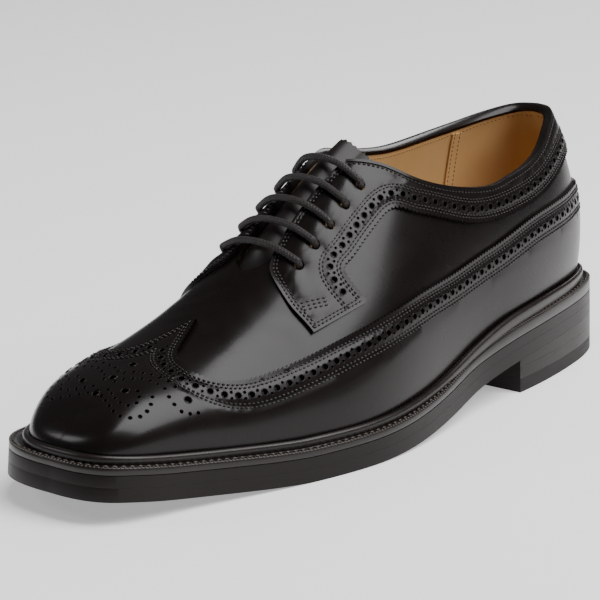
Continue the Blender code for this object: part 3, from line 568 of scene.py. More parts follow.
def mesh_object(name: str, vertices: np.ndarray, faces: list[tuple[int, ...]],
                material: bpy.types.Material, sharp: float = 40.0) -> bpy.types.Object:
    """Make a closed, smooth-shaded piece.

    Args:
        name: the piece's name.
        vertices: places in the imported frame.
        faces: corners of each face.
        material: what it is dressed in.
        sharp: angle in degrees over which an edge stays crisp.

    Returns:
        The new object, linked to the scene.
    """
    mesh = bpy.data.meshes.new(name)
    mesh.from_pydata(np.asarray(vertices).tolist(), [], faces)
    work = bmesh.new()
    work.from_mesh(mesh)
    bmesh.ops.remove_doubles(work, verts=work.verts, dist=0.000004)
    loose = [vertex for vertex in work.verts if not vertex.link_faces]
    bmesh.ops.delete(work, geom=loose, context="VERTS")
    face_out(work)
    work.to_mesh(mesh)
    work.free()
    mesh.shade_smooth()
    mesh.set_sharp_from_angle(angle=math.radians(sharp))
    mesh.materials.append(material)
    return linked(name, mesh)


def settle(thing: bpy.types.Object, slot: str, *nodes: str) -> bpy.types.Object:
    """Let a finished piece ride on the shoe, and hide the nodes it stands for."""
    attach(thing, ROOT)
    if nodes:
        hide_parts(*nodes)
    count = sum(len(face.vertices) - 2 for face in thing.data.polygons)
    LOG.info("%s: %d triangles", thing.name, count)
    return thing


def feed(tree: bpy.types.NodeTree, node: bpy.types.Node, inputs: dict) -> None:
    """Give a node's inputs their plain values, or link the sockets that feed them."""
    for key, value in inputs.items():
        if isinstance(value, bpy.types.NodeSocket):
            tree.links.new(value, node.inputs[key])
        else:
            node.inputs[key].default_value = value


def add_node(tree: bpy.types.NodeTree, kind: str, settings: dict | None = None,
             inputs: dict | None = None) -> bpy.types.Node:
    """Add a node with its settings, values and links.

    Args:
        tree: the tree that takes it.
        kind: the node's type name.
        settings: properties of the node.
        inputs: socket name or index to a plain value, or to a socket that feeds it.

    Returns:
        The node.
    """
    node = tree.nodes.new(kind)
    for key, value in (settings or {}).items():
        setattr(node, key, value)
    feed(tree, node, inputs or {})
    return node


def linear(code: str) -> tuple[float, float, float, float]:
    """Turn an sRGB hex colour into linear values with alpha."""
    channels = [int(code[i:i + 2], 16) / 255.0 for i in (1, 3, 5)]
    light = [c / 12.92 if c <= 0.04045 else ((c + 0.055) / 1.055) ** 2.4 for c in channels]
    return (light[0], light[1], light[2], 1.0)


def started(name: str) -> tuple[bpy.types.Material, bpy.types.NodeTree, bpy.types.Node]:
    """A new material with its tree and its shader."""
    material = bpy.data.materials.new(name)
    material.use_nodes = True
    tree = material.node_tree
    return material, tree, tree.nodes["Principled BSDF"]


@dataclass(frozen=True)
class LeatherFinish:
    """A leather: its colours, gloss and grain."""

    name: str
    dark: str
    light: str
    roughness: float
    coat: float
    coat_roughness: float
    grain_mm: float
    grain_depth: float
    mottle_mm: float = 14.0
    wave_depth: float = 0.0
    specular: float = 0.5

    def material(self) -> bpy.types.Material:
        """Build the material: mottled colour, fine grain and slow waves in the hide."""
        material, tree, shader = started(self.name)
        place = add_node(tree, "ShaderNodeTexCoord").outputs["Object"]
        mottle = add_node(tree, "ShaderNodeTexNoise", inputs={
            "Vector": place, "Scale": 1000.0 / self.mottle_mm, "Detail": 4.0})
        ramp = add_node(tree, "ShaderNodeMix", {"data_type": "RGBA"}, {
            0: mottle.outputs["Fac"], 6: linear(self.dark), 7: linear(self.light)})
        grain = add_node(tree, "ShaderNodeTexVoronoi", {"feature": "SMOOTH_F1"}, {
            "Vector": place, "Scale": 1000.0 / self.grain_mm})
        fine = add_node(tree, "ShaderNodeBump", inputs={
            "Strength": self.grain_depth, "Distance": 0.1 * MM,
            "Height": grain.outputs["Distance"]})
        wave = add_node(tree, "ShaderNodeTexNoise", inputs={
            "Vector": place, "Scale": 1000.0 / 26.0, "Detail": 2.0})
        broad = add_node(tree, "ShaderNodeBump", inputs={
            "Strength": self.wave_depth, "Distance": 1.0 * MM,
            "Height": wave.outputs["Fac"], "Normal": fine.outputs["Normal"]})
        rough = add_node(tree, "ShaderNodeMapRange", inputs={
            "Value": mottle.outputs["Fac"], "To Min": self.roughness * 0.85,
            "To Max": self.roughness * 1.2})
        feed(tree, shader, {
            "Base Color": ramp.outputs[2], "Normal": broad.outputs["Normal"],
            "Roughness": rough.outputs["Result"], "Coat Weight": self.coat,
            "Coat Roughness": self.coat_roughness, "Specular IOR Level": self.specular})
        return material


@dataclass(frozen=True)
class EdgeFinish:
    """Cut sole leather with a stained and burnished edge: fine level streaks."""

    name: str
    dark: str
    light: str
    roughness: float
    streak_mm: float = 0.5
    specular: float = 0.22

    def material(self) -> bpy.types.Material:
        """Build the material from noise that is stretched along the sole."""
        material, tree, shader = started(self.name)
        place = add_node(tree, "ShaderNodeTexCoord").outputs["Object"]
        stretched = add_node(tree, "ShaderNodeMapping", inputs={
            "Vector": place, "Scale": (90.0, 90.0, 1000.0 / self.streak_mm)})
        streak = add_node(tree, "ShaderNodeTexNoise", inputs={
            "Vector": stretched.outputs["Vector"], "Scale": 1.0, "Detail": 5.0,
            "Roughness": 0.6})
        ramp = add_node(tree, "ShaderNodeMix", {"data_type": "RGBA"}, {
            0: streak.outputs["Fac"], 6: linear(self.dark), 7: linear(self.light)})
        bump = add_node(tree, "ShaderNodeBump", inputs={
            "Strength": 0.35, "Distance": 0.12 * MM, "Height": streak.outputs["Fac"]})
        rough = add_node(tree, "ShaderNodeMapRange", inputs={
            "Value": streak.outputs["Fac"], "To Min": self.roughness * 0.8,
            "To Max": self.roughness * 1.3})
        feed(tree, shader, {
            "Base Color": ramp.outputs[2], "Normal": bump.outputs["Normal"],
            "Roughness": rough.outputs["Result"], "Specular IOR Level": self.specular})
        return material


@dataclass(frozen=True)
class ThreadFinish:
    """Twisted or braided yarn, its strands read from the UV map."""

    name: str
    dark: str
    light: str
    roughness: float
    along: float = 1.0
    around: float = 2.0

    def material(self) -> bpy.types.Material:
        """Build the material from crossing bands of two lays of strands."""
        material, tree, shader = started(self.name)
        place = add_node(tree, "ShaderNodeTexCoord").outputs["UV"]
        waves = []
        for lean in (1.0, -1.0):
            turned = add_node(tree, "ShaderNodeMapping", inputs={
                "Vector": place, "Scale": (self.along, lean * self.around, 1.0)})
            waves.append(add_node(tree, "ShaderNodeTexWave", {
                "wave_type": "BANDS", "bands_direction": "DIAGONAL"}, {
                "Vector": turned.outputs["Vector"], "Scale": 1.0}))
        braid = add_node(tree, "ShaderNodeMath", {"operation": "MAXIMUM"}, {
            0: waves[0].outputs["Fac"], 1: waves[1].outputs["Fac"]})
        ramp = add_node(tree, "ShaderNodeMix", {"data_type": "RGBA"}, {
            0: braid.outputs[0], 6: linear(self.dark), 7: linear(self.light)})
        bump = add_node(tree, "ShaderNodeBump", inputs={
            "Strength": 0.8, "Distance": 0.25 * MM, "Height": braid.outputs[0]})
        feed(tree, shader, {
            "Base Color": ramp.outputs[2], "Normal": bump.outputs["Normal"],
            "Roughness": self.roughness, "Sheen Weight": 0.05})
        return material


class Finishes:
    """Every material of the shoe, each built once."""

    def __init__(self) -> None:
        """Build them."""
        # Polished binder calf: a hard glossy film over a nearly black brown hide.
        self.upper = LeatherFinish(
            "polished_binder_calf", "#0c0807", "#150f0d", 0.27, 0.09, 0.14,
            0.45, 0.06, wave_depth=0.06, specular=0.24).material()
        # The same calf cut for the tongue, less polished.
        self.tongue = LeatherFinish(
            "brushed_tongue_calf", "#110c0a", "#1b1411", 0.42, 0.08, 0.3,
            0.5, 0.2, specular=0.3).material()
        # Vegetable-tanned lining calf: pale tan, soft and matt.
        self.lining = LeatherFinish(
            "vegetable_tanned_lining", "#c69b62", "#d9b47f", 0.5, 0.1, 0.35,
            0.6, 0.25, mottle_mm=22.0).material()
        self.insole = LeatherFinish(
            "vegetable_tanned_sock", "#b48a56", "#c9a26c", 0.55, 0.05, 0.4,
            0.7, 0.25, mottle_mm=18.0).material()
        # Bridle leather welt, stained and waxed.
        self.welt = LeatherFinish(
            "waxed_welt_leather", "#120d0b", "#1e1714", 0.36, 0.12, 0.2,
            0.7, 0.3, mottle_mm=6.0, specular=0.35).material()
        # The welt's outer edge where the wheel has bruised the wax off.
        self.wheeled = LeatherFinish(
            "wheeled_welt_edge", "#2c2624", "#58504b", 0.45, 0.1, 0.3,
            0.5, 0.3, mottle_mm=3.0).material()
        # Oak-bark sole leather, its edge inked and burnished with hot wax.
        self.edge = EdgeFinish("burnished_sole_edge", "#0f0c0b", "#1e1816", 0.40).material()
        self.heel = EdgeFinish("burnished_heel_edge", "#100d0c", "#201a17", 0.38).material()
        self.top_lift = EdgeFinish("moulded_rubber_lift", "#151211", "#1f1b1a", 0.55).material()
        self.thread = ThreadFinish("waxed_seam_thread", "#1d1714", "#4c4039", 0.3,
                                   6.0, 2.0).material()
        self.welt_thread = ThreadFinish("waxed_linen_thread", "#3c3530", "#7a7067", 0.5,
                                        6.0, 2.0).material()
        self.lace = ThreadFinish("waxed_cotton_braid", "#0b0807", "#1c1512", 0.5,
                                 1.0, 4.0).material()
        # Unwaxed linen that sews the lining.
        self.lining_thread = ThreadFinish("linen_lining_thread", "#8a6234", "#b98a50", 0.6,
                                          6.0, 2.0).material()


def pattern_mesh(loop: np.ndarray, holes: Sequence[np.ndarray], along: int, around: int,
                 extra: np.ndarray | None = None) -> tuple[np.ndarray, np.ndarray, list]:
    """Triangles of a pattern piece.

    Args:
        loop: its closed outline in pattern points.
        holes: closed outlines of its holes.
        along: lattice steps from heel to toe.
        around: lattice steps round the last.
        extra: more pattern points that the mesh has to pass through.

    Returns:
        Shares along, shares round, and triangles.
    """
    rings = [np.c_[uncrowd(ring[:, 0]), ring[:, 1]] * FLAT for ring in (loop, *holes)]
    lattice = np.array([((k + 0.5 * (i % 2)) / along, i / around)
                        for i in range(1, around) for k in range(along)]) * FLAT
    fixed = np.vstack(rings)
    if extra is not None and len(extra):
        free = np.c_[uncrowd(extra[:, 0]), extra[:, 1]] * FLAT
        fixed = np.vstack([fixed, free[inside(free, rings[0])]])
    tree = near_tree(fixed)
    room = 0.45 * SOLE_LENGTH / along
    lattice = lattice[in_piece(lattice, rings)]
    far = [tree.find((x, y, 0.0))[2] > room for x, y in lattice]
    points = [Vector(p) for p in np.vstack([fixed, lattice[np.array(far, bool)]])]
    found = delaunay_2d_cdt(points, chained(rings, True), [], 0, 1e-9)
    where = np.array([tuple(p) for p in found[0]])
    faces = np.array([tuple(face) for face in found[2]])
    faces = faces[in_piece(where[faces].mean(axis=1), rings)]
    where = where / FLAT
    return crowd(where[:, 0]), where[:, 1], [tuple(int(i) for i in face) for face in faces]


def welded(u: np.ndarray, v: np.ndarray, faces: list) -> list:
    """Join the two sides of a pattern piece at the heel seam and at the toe."""
    keys: dict[tuple[int, int], int] = {}
    same = []
    for i in range(len(u)):
        at_seam = u[i] < 1e-6 or u[i] > 1.0 - 1e-6
        key = (round(u[i]), round(min(v[i], 1.0 - v[i]) * 10000))
        same.append(keys.setdefault(key, i) if at_seam else i)
    faces = [tuple(same[i] for i in face) for face in faces]
    seen: dict[frozenset, int] = {}
    for face in faces:
        key = frozenset(face)
        seen[key] = seen.get(key, 0) + 1
    return [face for face in faces if len(set(face)) == 3 and seen[frozenset(face)] == 1]


def leather_piece(name: str, loop: np.ndarray, inner: Callable | float, thickness: float,
                  material: bpy.types.Material, holes: Sequence[np.ndarray] = (),
                  along: int = 190, around: int = 104,
                  dents: np.ndarray | None = None, dent_depth: float = 0.0,
                  form: Callable | None = None) -> bpy.types.Object:
    """A cut piece of leather laid round the last.

    Args:
        name: the piece's name.
        loop: its outline in pattern points.
        inner: distance of its inner face from the last, or a function of the share along.
        thickness: of the leather.
        material: what it is dressed in.
        holes: outlines of its holes.
        along: lattice steps from heel to toe.
        around: lattice steps round the last.
        dents: pattern points where the stitching pulls the leather down.
        dent_depth: how far it does.
        form: soft rise or fall of the outer face, a function of both shares.

    Returns:
        The piece.
    """
    u, v, faces = pattern_mesh(loop, holes, along, around, dents)
    faces = welded(u, v, faces)
    count = len(u)
    level = inner(u) if callable(inner) else np.full(count, float(inner))
    low = LAST.lifted(u, v, level)
    top = level + thickness
    if form is not None:
        top = top + form(u, v)
    if dents is not None and len(dents):
        tree = near_tree(dents * FLAT)
        gap = np.array([tree.find((x, y, 0.0))[2] for x, y in np.c_[u, v] * FLAT])
        top = top - dent_depth * np.exp(-(gap / (0.5 * MM)) ** 2)
    high = LAST.lifted(u, v, top)
    directed = {edge for a, b, c in faces for edge in ((a, b), (b, c), (c, a))}
    rim = [(a, b) for (a, b) in directed if (b, a) not in directed]
    skin = list(faces)
    skin += [(c + count, b + count, a + count) for a, b, c in faces]
    skin += [(b, a, a + count, b + count) for a, b in rim]
    vertices = SOLE.to_frame(np.vstack([high, low]))
    return mesh_object(name, vertices, skin, material)


def round_hole(centre: tuple[float, float], radius: float, sides: int) -> np.ndarray:
    """Outline of a round hole on the last, in pattern points."""
    along, around = LAST.tangents(np.array([centre[0]]), np.array([centre[1]]))
    e = np.linalg.norm(along[0])
    g = np.linalg.norm(around[0])
    angle = 2 * np.pi * np.arange(sides) / sides
    return np.c_[centre[0] + radius * np.cos(angle) / e, centre[1] + radius * np.sin(angle) / g]


def start_group(name: str, given: str, sizes: dict[str, float],
                result: str) -> tuple[bpy.types.NodeTree, bpy.types.bpy_prop_collection]:
    """Start a Geometry Nodes group.

    Args:
        name: of the group.
        given: label of the geometry it takes.
        sizes: labels of its lengths and what they are unless set.
        result: label of the geometry it gives.

    Returns:
        The group and the sockets of its input.
    """
    tree = bpy.data.node_groups.new(name, "GeometryNodeTree")
    sockets = tree.interface
    sockets.new_socket(given, in_out="INPUT", socket_type="NodeSocketGeometry")
    for label, value in sizes.items():
        socket = sockets.new_socket(label, in_out="INPUT", socket_type="NodeSocketFloat")
        socket.default_value = value
    sockets.new_socket("Dress", in_out="INPUT", socket_type="NodeSocketMaterial")
    sockets.new_socket(result, in_out="OUTPUT", socket_type="NodeSocketGeometry")
    return tree, add_node(tree, "NodeGroupInput").outputs


def end_group(tree: bpy.types.NodeTree, placed: bpy.types.Node,
              dress: bpy.types.NodeSocket, result: str) -> None:
    """Turn a group's instances into smooth faces, dress them and give them out."""
    real = add_node(tree, "GeometryNodeRealizeInstances", inputs={
        "Geometry": placed.outputs["Instances"]})
    rounded = add_node(tree, "GeometryNodeSetShadeSmooth", inputs={
        "Geometry": real.outputs["Geometry"]})
    dressed = add_node(tree, "GeometryNodeSetMaterial", inputs={
        "Geometry": rounded.outputs["Geometry"], "Material": dress})
    add_node(tree, "NodeGroupOutput", inputs={result: dressed.outputs["Geometry"]})


class RowTree:
    """Geometry Nodes that set a rounded thread bar again and again along lines."""

    def __init__(self) -> None:
        """Build the tree."""
        tree, source = start_group("stitch_rows", "Lines", {
            "Pitch": 0.002, "Length": 0.0015, "Width": 0.0005, "Height": 0.0005}, "Row")
        curve = add_node(tree, "GeometryNodeMeshToCurve", inputs={"Mesh": source["Lines"]})
        even = add_node(tree, "GeometryNodeResampleCurve", {"mode": "LENGTH"}, {
            "Curve": curve.outputs["Curve"], "Length": source["Pitch"]})
        tangent = add_node(tree, "GeometryNodeInputTangent")
        turn = add_node(tree, "FunctionNodeAlignRotationToVector", {"axis": "X"}, {
            "Vector": tangent.outputs["Tangent"]})
        half = [add_node(tree, "ShaderNodeMath", {"operation": "MULTIPLY"}, {
            0: source[label], 1: 0.5}).outputs[0] for label in ("Length", "Width", "Height")]
        size = add_node(tree, "ShaderNodeCombineXYZ", inputs=dict(zip("XYZ", half)))
        bead = add_node(tree, "GeometryNodeMeshUVSphere", inputs={
            "Segments": 6, "Rings": 5, "Radius": 1.0})
        shaped = add_node(tree, "GeometryNodeTransform", inputs={
            "Geometry": bead.outputs["Mesh"], "Scale": size.outputs["Vector"]})
        placed = add_node(tree, "GeometryNodeInstanceOnPoints", inputs={
            "Points": even.outputs["Curve"], "Instance": shaped.outputs["Geometry"],
            "Rotation": turn.outputs["Rotation"]})
        end_group(tree, placed, source["Dress"], "Row")
        self.tree = tree

    def lay(self, name: str, lines: Sequence[np.ndarray], material: bpy.types.Material,
            pitch: float, length: float, width: float, height: float) -> bpy.types.Object:
        """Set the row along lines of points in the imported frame.

        Args:
            name: the piece's name.
            lines: each an array of places.
            material: what the parts are dressed in.
            pitch: distance between two parts.
            length: of one part along the line.
            width: of one part across it.
            height: of one part over the surface.

        Returns:
            One mesh object with every part.
        """
        mesh = bpy.data.meshes.new(name + "_lines")
        mesh.from_pydata(np.vstack(lines).tolist(), chained(lines, False), [])
        return baked(name, mesh, self.tree, {
            "Pitch": pitch, "Length": length, "Width": width, "Height": height,
            "Dress": material})


class RimTree:
    """Geometry Nodes that set the rolled rim of a punched hole on each point."""

    def __init__(self) -> None:
        """Build the tree."""
        tree, source = start_group("punch_rims", "Centres", {"Roll": 0.14}, "Rims")
        way = add_node(tree, "GeometryNodeInputNamedAttribute", {
            "data_type": "FLOAT_VECTOR"}, {"Name": "out"})
        wide = add_node(tree, "GeometryNodeInputNamedAttribute", {
            "data_type": "FLOAT"}, {"Name": "wide"})
        turn = add_node(tree, "FunctionNodeAlignRotationToVector", {"axis": "Z"}, {
            "Vector": way.outputs["Attribute"]})
        ring = add_node(tree, "GeometryNodeCurvePrimitiveCircle", {"mode": "RADIUS"}, {
            "Resolution": 12, "Radius": 1.0})
        section = add_node(tree, "GeometryNodeCurvePrimitiveCircle", {"mode": "RADIUS"}, {
            "Resolution": 5, "Radius": source["Roll"]})
        tube = add_node(tree, "GeometryNodeCurveToMesh", inputs={
            "Curve": ring.outputs["Curve"], "Profile Curve": section.outputs["Curve"]})
        placed = add_node(tree, "GeometryNodeInstanceOnPoints", inputs={
            "Points": source["Centres"], "Instance": tube.outputs["Mesh"],
            "Rotation": turn.outputs["Rotation"], "Scale": wide.outputs["Attribute"]})
        end_group(tree, placed, source["Dress"], "Rims")
        self.tree = tree

    def punch(self, name: str, holes: Sequence[tuple[float, float, float]], lift: float,
              material: bpy.types.Material) -> bpy.types.Object:
        """Set a rim round every hole.

        Args:
            name: the piece's name.
            holes: share along, share round and radius of each.
            lift: distance of the rims from the last.
            material: what they are dressed in.

        Returns:
            One mesh object with every rim.
        """
        table = np.array(holes)
        u, v, radius = table.T
        places = SOLE.to_frame(LAST.lifted(u, v, lift))
        out = LAST.normal(u, v) * np.array([1.0, -1.0, 1.0])
        mesh = bpy.data.meshes.new(name + "_centres")
        mesh.from_pydata(places.tolist(), [], [])
        mesh.attributes.new("out", "FLOAT_VECTOR", "POINT").data.foreach_set(
            "vector", out.ravel())
        mesh.attributes.new("wide", "FLOAT", "POINT").data.foreach_set("value", radius)
        return baked(name, mesh, self.tree, {"Dress": material})


def baked(name: str, mesh: bpy.types.Mesh, tree: bpy.types.NodeTree,
          values: dict) -> bpy.types.Object:
    """Run a Geometry Nodes group on a mesh and keep what it gives as a plain object.

    Args:
        name: the piece's name.
        mesh: the lines or points that guide the group.
        tree: the group.
        values: what its inputs are set to, the material under Dress.

    Returns:
        The piece.
    """
    guide = linked(name + "_guide", mesh)
    modifier = guide.modifiers.new("rows", "NODES")
    modifier.node_group = tree
    for item in tree.interface.items_tree:
        if item.in_out == "INPUT" and item.name in values:
            modifier[item.identifier] = values[item.name]
    graph = bpy.context.evaluated_depsgraph_get()
    result = bpy.data.meshes.new_from_object(guide.evaluated_get(graph))
    guide.modifiers.clear()
    bpy.data.objects.remove(guide)
    result.materials.clear()
    result.materials.append(values["Dress"])
    return linked(name, result)


def on_last(line: np.ndarray, lift: float) -> np.ndarray:
    """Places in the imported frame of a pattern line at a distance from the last."""
    line = np.asarray(line, float)
    return SOLE.to_frame(LAST.lifted(line[:, 0], line[:, 1], lift))


def ring_of(*runs: Sequence | np.ndarray) -> np.ndarray:
    """Join runs of pattern points into one closed loop without repeats."""
    loop: list[tuple[float, float]] = []
    for run in runs:
        for u, v in np.asarray(run, float):
            if not loop or abs(u - loop[-1][0]) + abs(v - loop[-1][1]) > 1e-6:
                loop.append((float(u), float(v)))
    if abs(loop[0][0] - loop[-1][0]) + abs(loop[0][1] - loop[-1][1]) < 1e-6:
        loop.pop()
    return np.array(loop)


def seam_ladder(start: float, end: float, u: float, steps: int = 104) -> np.ndarray:
    """Pattern points up or down the seam at heel or toe, alike on both sides."""
    low, high = min(start, end), max(start, end)
    inner = [k / steps for k in range(steps + 1) if low + 0.004 < k / steps < high - 0.004]
    if start > end:
        inner.reverse()
    return np.array([(u, start)] + [(u, v) for v in inner] + [(u, end)])


def feather_line(steps: int = 190) -> np.ndarray:
    """The lateral feather line from heel to toe."""
    return np.c_[crowd(np.linspace(0.0, 1.0, steps + 1)), np.zeros(steps + 1)]


def half_line(line: np.ndarray) -> np.ndarray:
    """The part of a moved line that stays on the lateral side, ended on the ridge."""
    keep = line[:, 1] <= 0.5
    stop = len(line) if keep.all() else int(np.argmin(keep))
    kept = line[:stop]
    if stop < len(line):
        kept = np.vstack([kept, [(line[stop, 0] + kept[-1, 0]) / 2.0, 0.5]])
    return kept


def hole_row(line: np.ndarray, pitch: float, big: float, small: float,
             spread: float) -> list[tuple[float, float, float]]:
    """Brogue punching: a large hole, then a pair of small ones across the row.

    Args:
        line: pattern points along the middle of the row.
        pitch: distance between two large holes.
        big: radius of a large hole.
        small: radius of a small hole.
        spread: distance of the small holes from the middle of the row.

    Returns:
        Share along, share round and radius of each hole.
    """
    even = LAST.spaced(line, pitch / 2.0)
    above = LAST.moved(even, spread)
    below = LAST.moved(even, -spread)
    holes = []
    for k in range(1, len(even) - 1):
        if k % 2:
            holes.append((*even[k], big))
        else:
            holes.append((*above[k], small))
            holes.append((*below[k], small))
    return holes


def hole_outlines(holes: Sequence[tuple[float, float, float]]) -> list[np.ndarray]:
    """Outlines of punched holes."""
    return [round_hole((u, v), radius, 12 if radius > 1.0 * MM else 8) for u, v, radius in holes]


@dataclass
class Broguing:
    """Distances of the stitching and punching from a pinked edge."""

    edge_row: float = 1.4 * MM
    second_row: float = 2.6 * MM
    hole_row: float = 5.4 * MM
    third_row: float = 8.3 * MM
    fourth_row: float = 9.5 * MM
    hole_pitch: float = 5.6 * MM
    big_radius: float = 1.35 * MM
    small_radius: float = 0.6 * MM
    small_spread: float = 1.15 * MM
    rim_sink: float = 0.03 * MM
    medallion_pitch: float = 3.6 * MM
    medallion_radius: float = 0.82 * MM
    hub_radius: float = 1.6 * MM

    def seams(self, line: np.ndarray, hand: float) -> list[np.ndarray]:
        """The two double stitch rows beside a pinked edge."""
        return [LAST.moved(line, -d * hand)
                for d in (self.edge_row, self.second_row, self.third_row, self.fourth_row)]

    def punching(self, line: np.ndarray) -> list[tuple[float, float, float]]:
        """The row of large and paired small holes along a line."""
        return hole_row(line, self.hole_pitch, self.big_radius, self.small_radius,
                        self.small_spread)


@dataclass
class Stitching:
    """Size of the upper's stitches."""

    pitch: float = 1.9 * MM
    length: float = 1.4 * MM
    width: float = 0.72 * MM
    height: float = 0.55 * MM


@dataclass
class UpperLeathers:
    """Vamp and quarters, lining, long wing, facings and tongue."""

    finishes: Finishes
    rows: RowTree
    rims: RimTree
    brogue: Broguing = field(default_factory=Broguing)
    stitch: Stitching = field(default_factory=Stitching)
    wing_top: np.ndarray = field(init=False)

    def __post_init__(self) -> None:
        """Read the wing's upper edge."""
        self.wing_top = through(WING_LATERAL)

    @staticmethod
    def throat(inset: float = 0.0) -> np.ndarray:
        """The slot's edge from the lateral collar end round the throat.

        Args:
            inset: how far a layer stays back from the cut edge.

        Returns:
            Pattern points down the lateral side and up the medial one.
        """
        lateral = LAST.moved(through(FACING_EDGE), -inset)
        end = THROAT_END + inset / SOLE_LENGTH
        low = 0.446 - 5.0 * inset
        turn = np.array([(end - 0.012, low), (end, 0.5), (end - 0.012, 1.0 - low)])
        return np.vstack([lateral, turn, mirrored(lateral)[::-1]])

    @staticmethod
    def eyelets(side: Side, room: float = 0.0) -> list[np.ndarray]:
        """Outlines of the lace holes on one side, wider by some room."""
        around = EYELET_ROUND if side is Side.LATERAL else 1.0 - EYELET_ROUND
        return [round_hole((u, around), EYELET_DIAMETER / 2.0 + room, 20)
                for u in EYELET_STATIONS]

    def body_loop(self, inset: float = 0.0) -> np.ndarray:
        """Outline of the vamp and quarters in one, or of their lining."""
        feather = feather_line()
        return ring_of(
            feather,
            seam_ladder(0.0, 1.0, 1.0),
            mirrored(feather)[::-1],
            seam_ladder(1.0, COLLAR_MEDIAL[0][1], 0.0),
            through(COLLAR_MEDIAL),
            self.throat(inset)[::-1],
            through(COLLAR_LATERAL)[::-1],
            seam_ladder(COLLAR_LATERAL[0][1], 0.0, 0.0))

    @staticmethod
    def flex(u: np.ndarray, v: np.ndarray) -> np.ndarray:
        """Soft troughs across the vamp where the shoe bends, and slow waves at the side."""
        rise = np.zeros(len(u))
        for place, lean, depth, width in ((0.605, 0.05, 0.28, 0.010), (0.632, 0.03, 0.22, 0.009),
                                          (0.660, -0.02, 0.16, 0.009)):
            middle = place + lean * (v - 0.5) + 0.012 * np.sin(v * 23.0)
            reach = clipped(1.0 - np.abs(v - 0.5) / 0.36) ** 0.7
            rise -= depth * MM * reach * np.exp(-((u - middle) / width) ** 2)
        rise += 0.12 * MM * np.sin(u * 37.0 + 5.0 * v) * np.sin(v * 19.0 + 2.0)
        return rise

    def build_body(self) -> None:
        """Vamp and quarter leather outside, tan lining inside."""
        holes = self.eyelets(Side.LATERAL) + self.eyelets(Side.MEDIAL)
        wide = self.eyelets(Side.LATERAL, 1.4 * MM) + self.eyelets(Side.MEDIAL, 1.4 * MM)
        body = leather_piece("vamp_and_quarters", self.body_loop(), -1.05 * MM, 1.05 * MM,
                             self.finishes.upper, holes, form=self.flex)
        settle(body, "vamp_leather", "upper")
        lining = leather_piece("quarter_lining", self.body_loop(3.0 * MM), -UPPER_WALL, 0.9 * MM,
                               self.finishes.lining, wide, along=120, around=66)
        settle(lining, "insole_leather")
        self.build_lining_seams()

    @staticmethod
    def strap_line(shift: float) -> np.ndarray:
        """A line down the lining's strap, beside its middle."""
        ends = np.array([(STRAP_PLACE + shift, v) for v in STRAP_ENDS])
        return LAST.spaced(ends, EDGE_STEP)

    def build_lining_seams(self) -> None:
        """The strap over the lining's join on the inner side, and the row under the topline."""
        back = -UPPER_WALL - 0.8 * MM
        runs = [self.strap_line(shift) for shift in (STRAP_HALF, -STRAP_HALF)]
        strap = leather_piece("lining_strap", ring_of(runs[0], runs[1][::-1]), back, 0.75 * MM,
                              self.finishes.lining)
        settle(strap, "insole_leather")
        proud = 0.02 * MM
        rows = [on_last(self.strap_line(shift), back - proud)
                for shift in (-STRAP_ROW, STRAP_ROW)]
        for collar, hand in ((COLLAR_LATERAL, 1.0), (COLLAR_MEDIAL, -1.0)):
            rim = LAST.spaced(through(collar), ROW_STEP)
            row = LAST.moved(rim, -3.4 * MM * hand)[2:-4]
            rows.append(on_last(row, -UPPER_WALL - proud))
        seam = self.rows.lay("lining_stitches", rows, self.finishes.lining_thread,
                             2.0 * MM, 1.4 * MM, 0.6 * MM, 0.4 * MM)
        settle(seam, "insole_leather")

    def wing_rows(self) -> list[np.ndarray]:
        """Stitch rows of the wing's lateral half, as pattern lines."""
        line = LAST.spaced(self.wing_top, ROW_STEP)
        return [half_line(row) for row in self.brogue.seams(line, 1.0)]

    def wing_holes(self) -> list[tuple[float, float, float]]:
        """Punching along the wing's edge, both sides, and the toe's rosette."""
        b = self.brogue
        line = LAST.spaced(self.wing_top, ROW_STEP)
        middle = half_line(LAST.moved(line, -b.hole_row))[:-3]
        lateral = [hole for hole in b.punching(middle) if hole[1] < 0.49]
        holes = lateral + [(u, 1.0 - v, r) for u, v, r in lateral]
        return holes + self.rosette()

    def rosette(self) -> list[tuple[float, float, float]]:
        """A plain symmetric medallion: large holes among curved rows of small ones."""
        b = self.brogue
        holes = [(u, v, b.hub_radius) for u, v in MEDALLION_HUBS]
        holes += [(u, 1.0 - v, b.hub_radius) for u, v in MEDALLION_HUBS if v < 0.49]
        for arc in MEDALLION_ARCS:
            for u, v in LAST.spaced(through(arc), b.medallion_pitch):
                holes += [(u, v, b.medallion_radius), (u, 1.0 - v, b.medallion_radius)]
        kept: list[tuple[float, float, float]] = []
        shape = np.array([SOLE_LENGTH, 0.35 * SOLE_LENGTH])
        for hole in holes:
            clear = all(np.linalg.norm((np.array(hole[:2]) - other[:2]) * shape)
                        > hole[2] + other[2] + 0.5 * MM for other in kept)
            if clear:
                kept.append(hole)
        return kept

    def build_wing(self) -> None:
        """The pinked long wing with its stitching and punching."""
        feather = feather_line()
        top = pinked(self.wing_top, 1.0)
        loop = ring_of(
            feather,
            seam_ladder(0.0, 1.0, 1.0),
            mirrored(feather)[::-1],
            seam_ladder(1.0, 1.0 - WING_LATERAL[0][1], 0.0),
            mirrored(top),
            top[::-1],
            seam_ladder(WING_LATERAL[0][1], 0.0, 0.0))
        rows = self.wing_rows()
        dents = np.vstack([LAST.spaced(row, DENT_STEP) for row in rows])
        dents = np.vstack([dents, mirrored(dents)])
        holes = self.wing_holes()
        wing = leather_piece("longwing", loop, OVERLAY_FOOT, OVERLAY_THICKNESS,
                             self.finishes.upper, hole_outlines(holes),
                             dents=dents, dent_depth=0.34 * MM, form=self.flex)
        settle(wing, "wing_leather", "longwing_overlay")
        self.trim("wing", "wing_leather", holes, rows + [mirrored(row) for row in rows])

